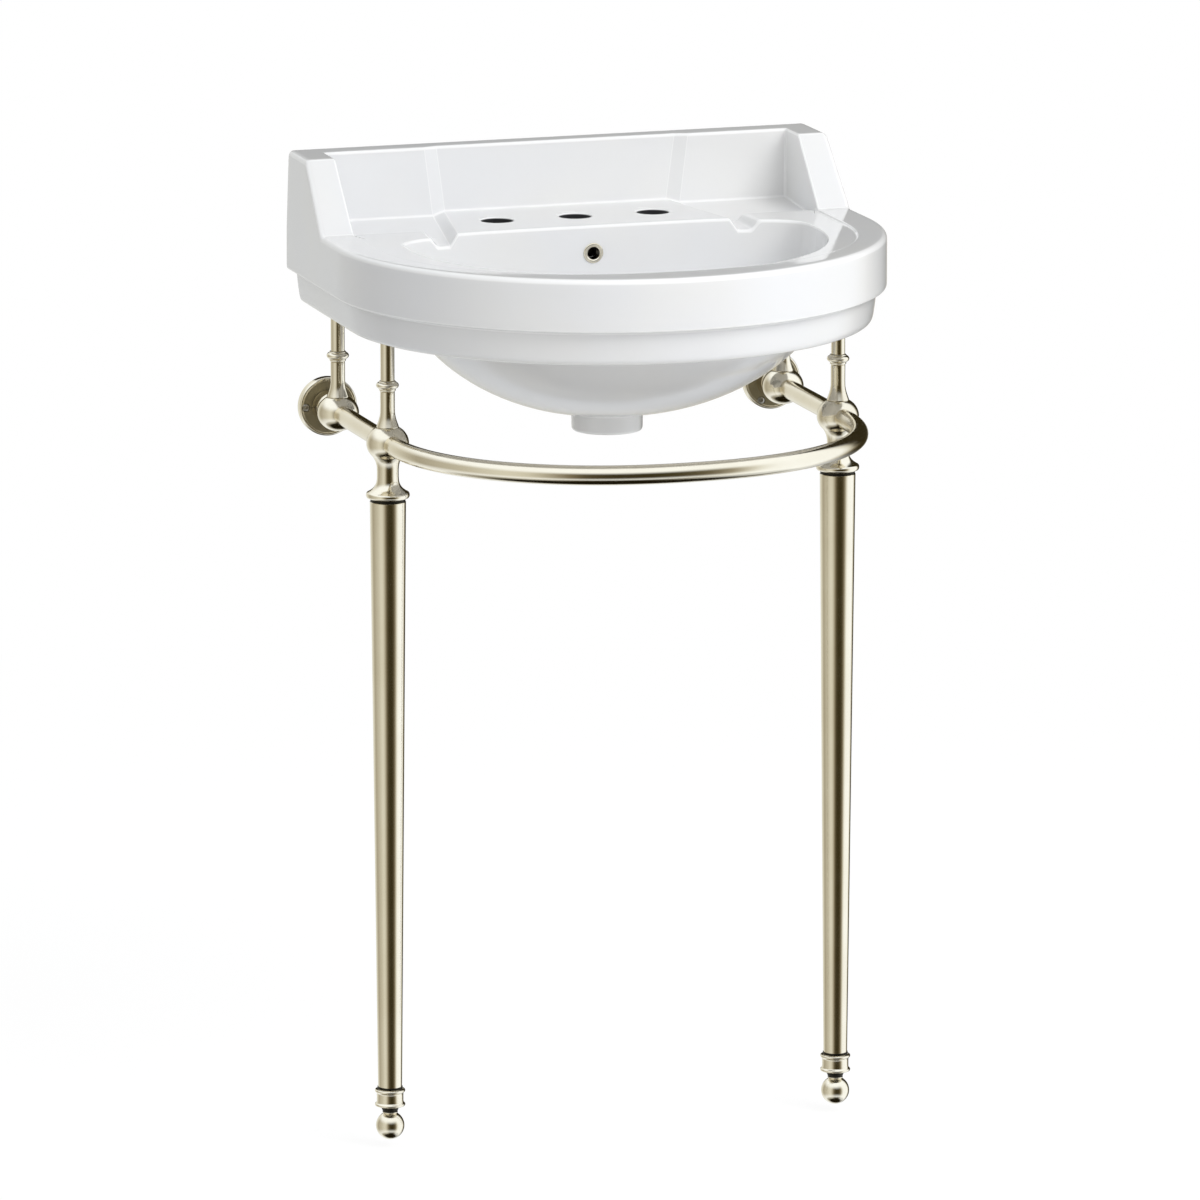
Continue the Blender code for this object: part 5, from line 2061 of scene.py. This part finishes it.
@dataclass
class Overflow:
    """The metal bush in the overflow hole."""

    stand_off: float = 0.0014

    def build(self, finishes: Finishes) -> None:
        """Build and dress the bush.

        Args:
            finishes: The sink's materials.
        """
        profile = [(0.0064, 0.0006)]
        profile += oval((0.0085, 0.0003), (0.0017, 0.0011), 155.0, 0.0, 14)
        profile += [(0.0103, 0.0), (0.0084, 0.0), (0.0084, -0.010), (0.0064, -0.010)]
        ring = turn("overflow_bush", profile, closed=True, steps=72)
        front_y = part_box("overflow_ring")[0].y
        stand(ring, (0.0, front_y + self.stand_off, -OVERFLOW_DROP), Axis.OUT)
        smooth(ring)
        dress(ring, finishes.nickel, PolishedNickel.slot, "overflow_ring")


# Studio


@dataclass(frozen=True)
class Surround:
    """What polished surfaces see round them: soft bright and dark bands by compass bearing."""

    strength: float = 1.36
    brightest: float = 1.25
    shades: tuple[tuple[float, Colour], ...] = (
        (0.00, (0.012, 0.009, 0.003)),
        (0.05, (0.053, 0.041, 0.014)),
        (0.25, (0.28, 0.24, 0.165)),
        (0.50, (0.51, 0.48, 0.40)),
        (0.80, (0.80, 0.79, 0.71)),
        (1.25, (1.20, 1.26, 1.35)),
    )
    bands: tuple[Point, ...] = (
        (-180, 0.90), (-165, 0.88), (-150, 0.76), (-128, 0.44), (-108, 0.56), (-86, 0.66),
        (-66, 0.82), (-52, 0.78), (-42, 0.52), (-32, 0.22), (-23, 0.08), (-10, 0.04),
        (6, 0.04), (16, 0.07), (25, 0.16), (34, 0.42), (44, 0.95), (54, 1.20), (100, 1.25),
        (110, 0.80), (118, 0.20), (126, 0.03), (146, 0.03), (158, 0.60), (180, 0.90),
    )
    levels: tuple[Point, ...] = (
        (-90, 0.02), (-66, 0.04), (-58, 0.30), (-46, 0.75), (-36, 0.50), (-26, 0.10),
        (-20, 0.0), (14, 0.0), (24, 0.30), (38, 0.9), (46, 1.0), (90, 1.0),
    )
    pit_edge: float = -60.0
    pit_shade_edge: float = -50.0
    doorway_turn: Point = (0.80, 0.84)
    doorway_foot: Point = (-0.12, -0.04)
    doorway_top: Point = (0.80, 0.87)
    doorway_level: float = 0.02
    soft: Colour = (0.98, 0.99, 1.0)
    soft_strength: float = 0.67
    paint: Colour = (0.52, 0.52, 0.52)
    catch: Colour = (0.16, 0.16, 0.16)
    catch_glow: float = 0.87
    fade: Point = (0.9, 2.2)

    def tone(self, level: float) -> Colour:
        """Choose the colour of a brightness, warm where it is dark and cool where it is bright.

        Args:
            level: The brightness.

        Returns:
            The colour, before the room's strength.
        """
        for (low, first), (high, second) in zip(self.shades, self.shades[1:]):
            if level <= high:
                share = (level - low) / (high - low)
                return tuple((a + (b - a) * share) / self.strength for a, b in zip(first, second))
        return tuple(value / self.strength for value in self.shades[-1][1])

    def rows(self) -> tuple[list[tuple[float, Colour]], list[tuple[float, Colour]]]:
        """List the marks for the pit below and the sky above, by height.

        Returns:
            The colour at each height, and how much of it shows there.
        """
        shades, amounts = [], []
        for angle, share in self.levels:
            height = (math.sin(math.radians(angle)) + 1) / 2
            level = 0.0 if angle < self.pit_shade_edge else self.brightest
            shades.append((height, self.tone(level)))
            amounts.append((height, WHITE if angle < self.pit_edge else (share,) * 3))
        return shades, amounts

    def room(self) -> bpy.types.World:
        """Make the room: even soft light, white to the camera, and bands in reflections.

        Returns:
            The room.
        """
        bench = NodeBench("studio_room", room=True)
        x, y, z = bench.axes(bench.node("ShaderNodeTexCoord", {}, {}, "Generated"))
        bearing = x.bearing(y * -1.0) / math.tau + 0.5
        height = (z + 1.0) * 0.5
        marks = [((angle + 180) / 360, self.tone(level)) for angle, level in self.bands]
        shades, amounts = self.rows()
        around, ends = bench.stops(bearing, marks), bench.stops(height, shades)
        shown = bench.mix(bench.stops(height, amounts), around, ends)
        doorway = bearing.ramp(*self.doorway_turn) * z.ramp(*self.doorway_foot)
        doorway = doorway * (1.0 - z.ramp(*self.doorway_top))
        shown = bench.mix(doorway, shown, self.tone(self.doorway_level))
        soft, white = bench.sky(self.soft, self.soft_strength), bench.sky(WHITE, 1.0)
        other = bench.blend(bench.seen_by("Camera", "Transmission"), soft, white)
        lit = bench.sky(shown, self.strength)
        return bench.close(bench.blend(bench.seen_by("Glossy"), other, lit))

    def floor(self) -> bpy.types.Material:
        """Make the floor: pale grey to the light, and white with its shadow to the camera.

        Returns:
            The floor's material. It is clear to reflections and from below.
        """
        bench = NodeBench("studio_floor")
        x, y, _ = bench.axes()
        catch = bench.node("ShaderNodeBsdfDiffuse", {}, {"Color": (*self.catch, 1.0)})
        glow = bench.glow(WHITE, self.catch_glow)
        near = bench.node("ShaderNodeAddShader", {}, {0: glow, 1: catch})
        distance = (x * x + y * y).root().ramp(*self.fade)
        shown = bench.blend(distance, near, bench.glow(WHITE, 1.0))
        paint = bench.node("ShaderNodeBsdfDiffuse", {}, {"Color": (*self.paint, 1.0)})
        plain = bench.blend(bench.seen_by("Camera", "Transmission"), paint, shown)
        clear = bench.node("ShaderNodeBsdfTransparent", {}, {})
        below = bench.node("ShaderNodeNewGeometry", {}, {}, "Backfacing")
        return bench.close(bench.blend(bench.seen_by("Glossy").most(below), plain, clear))


@dataclass(frozen=True)
class Lamp:
    """A soft lamp that faces the basin."""

    name: str
    place: Place
    size: float
    power: float
    target: Place = (0.0, -0.2, -0.1)

    def hang(self) -> None:
        """Hang the lamp, which neither the camera nor a reflection sees."""
        light = bpy.data.lights.new(self.name, "AREA")
        light.size = self.size
        light.energy = self.power
        lamp = bpy.data.objects.new(self.name, light)
        bpy.context.scene.collection.objects.link(lamp)
        lamp.location = self.place
        aim = Vector(self.target) - Vector(self.place)
        lamp.rotation_euler = aim.to_track_quat("-Z", "Y").to_euler()
        lamp.visible_camera = False
        lamp.visible_glossy = False


@dataclass
class Studio:
    """The floor, the lamps, the sky and the camera."""

    yaw: float = 0.3138
    pitch: float = 0.2033
    place: Place = (-3.5861, -11.2177, 2.0171)
    focal_share: float = 11818.7 / 1200.0
    sensor: float = 36.0
    sight: float = 200.0
    floor_size: float = 80.0
    lamps: tuple[Lamp, ...] = (
        Lamp("key_lamp", (1.75, -2.90, 2.30), 2.4, 80.0),
        Lamp("rim_lamp", (-2.45, 2.30, 0.90), 1.6, 9.0),
        Lamp("right_lamp", (2.50, -0.95, -0.45), 0.8, 2.6),
        Lamp("left_lamp", (-0.90, -2.60, -0.20), 0.8, 4.4),
        Lamp("low_lamp", (0.30, -1.90, -0.85), 0.6, 4.9),
    )

    def camera(self) -> None:
        """Set up the camera at the photograph's viewing angle."""
        data = bpy.data.cameras.new("camera")
        data.sensor_width = self.sensor
        data.lens = self.focal_share * data.sensor_width
        data.clip_end = self.sight
        camera = bpy.data.objects.new("camera", data)
        bpy.context.scene.collection.objects.link(camera)
        camera.location = self.place
        camera.rotation_euler = (math.pi / 2 - self.pitch, 0.0, -self.yaw)
        bpy.context.scene.camera = camera

    def floor(self, look: Surround) -> None:
        """Lay the pale floor, low enough for the feet at the end of their travel.

        Args:
            look: The room, which has the floor's material.
        """
        deselect()
        level = FLOOR_Z - FOOT_TRAVEL
        bpy.ops.mesh.primitive_plane_add(size=self.floor_size, location=(0.0, 0.0, level))
        floor = bpy.context.object
        floor.name = "studio_floor"
        floor.data.materials.append(look.floor())

    def build(self) -> None:
        """Set up the whole studio."""
        look = Surround()
        self.camera()
        self.floor(look)
        bpy.context.scene.world = look.room()
        for lamp in self.lamps:
            lamp.hang()


def main() -> None:
    """Build the visual model piece by piece, then the studio round it."""
    logging.basicConfig(level=logging.INFO, format="%(name)s %(message)s")
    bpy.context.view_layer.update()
    bpy.context.scene.view_settings.view_transform = "Standard"
    finishes = Finishes.mix_all()
    for builder in (
        Basin(), Overflow(), Rail(), Balls(), Flanges(), Supports(), Legs(), Feet(),
    ):
        LOG.info("building %s", type(builder).__name__)
        builder.build(finishes)
    Studio().build()


if __name__ == "__main__":
    main()
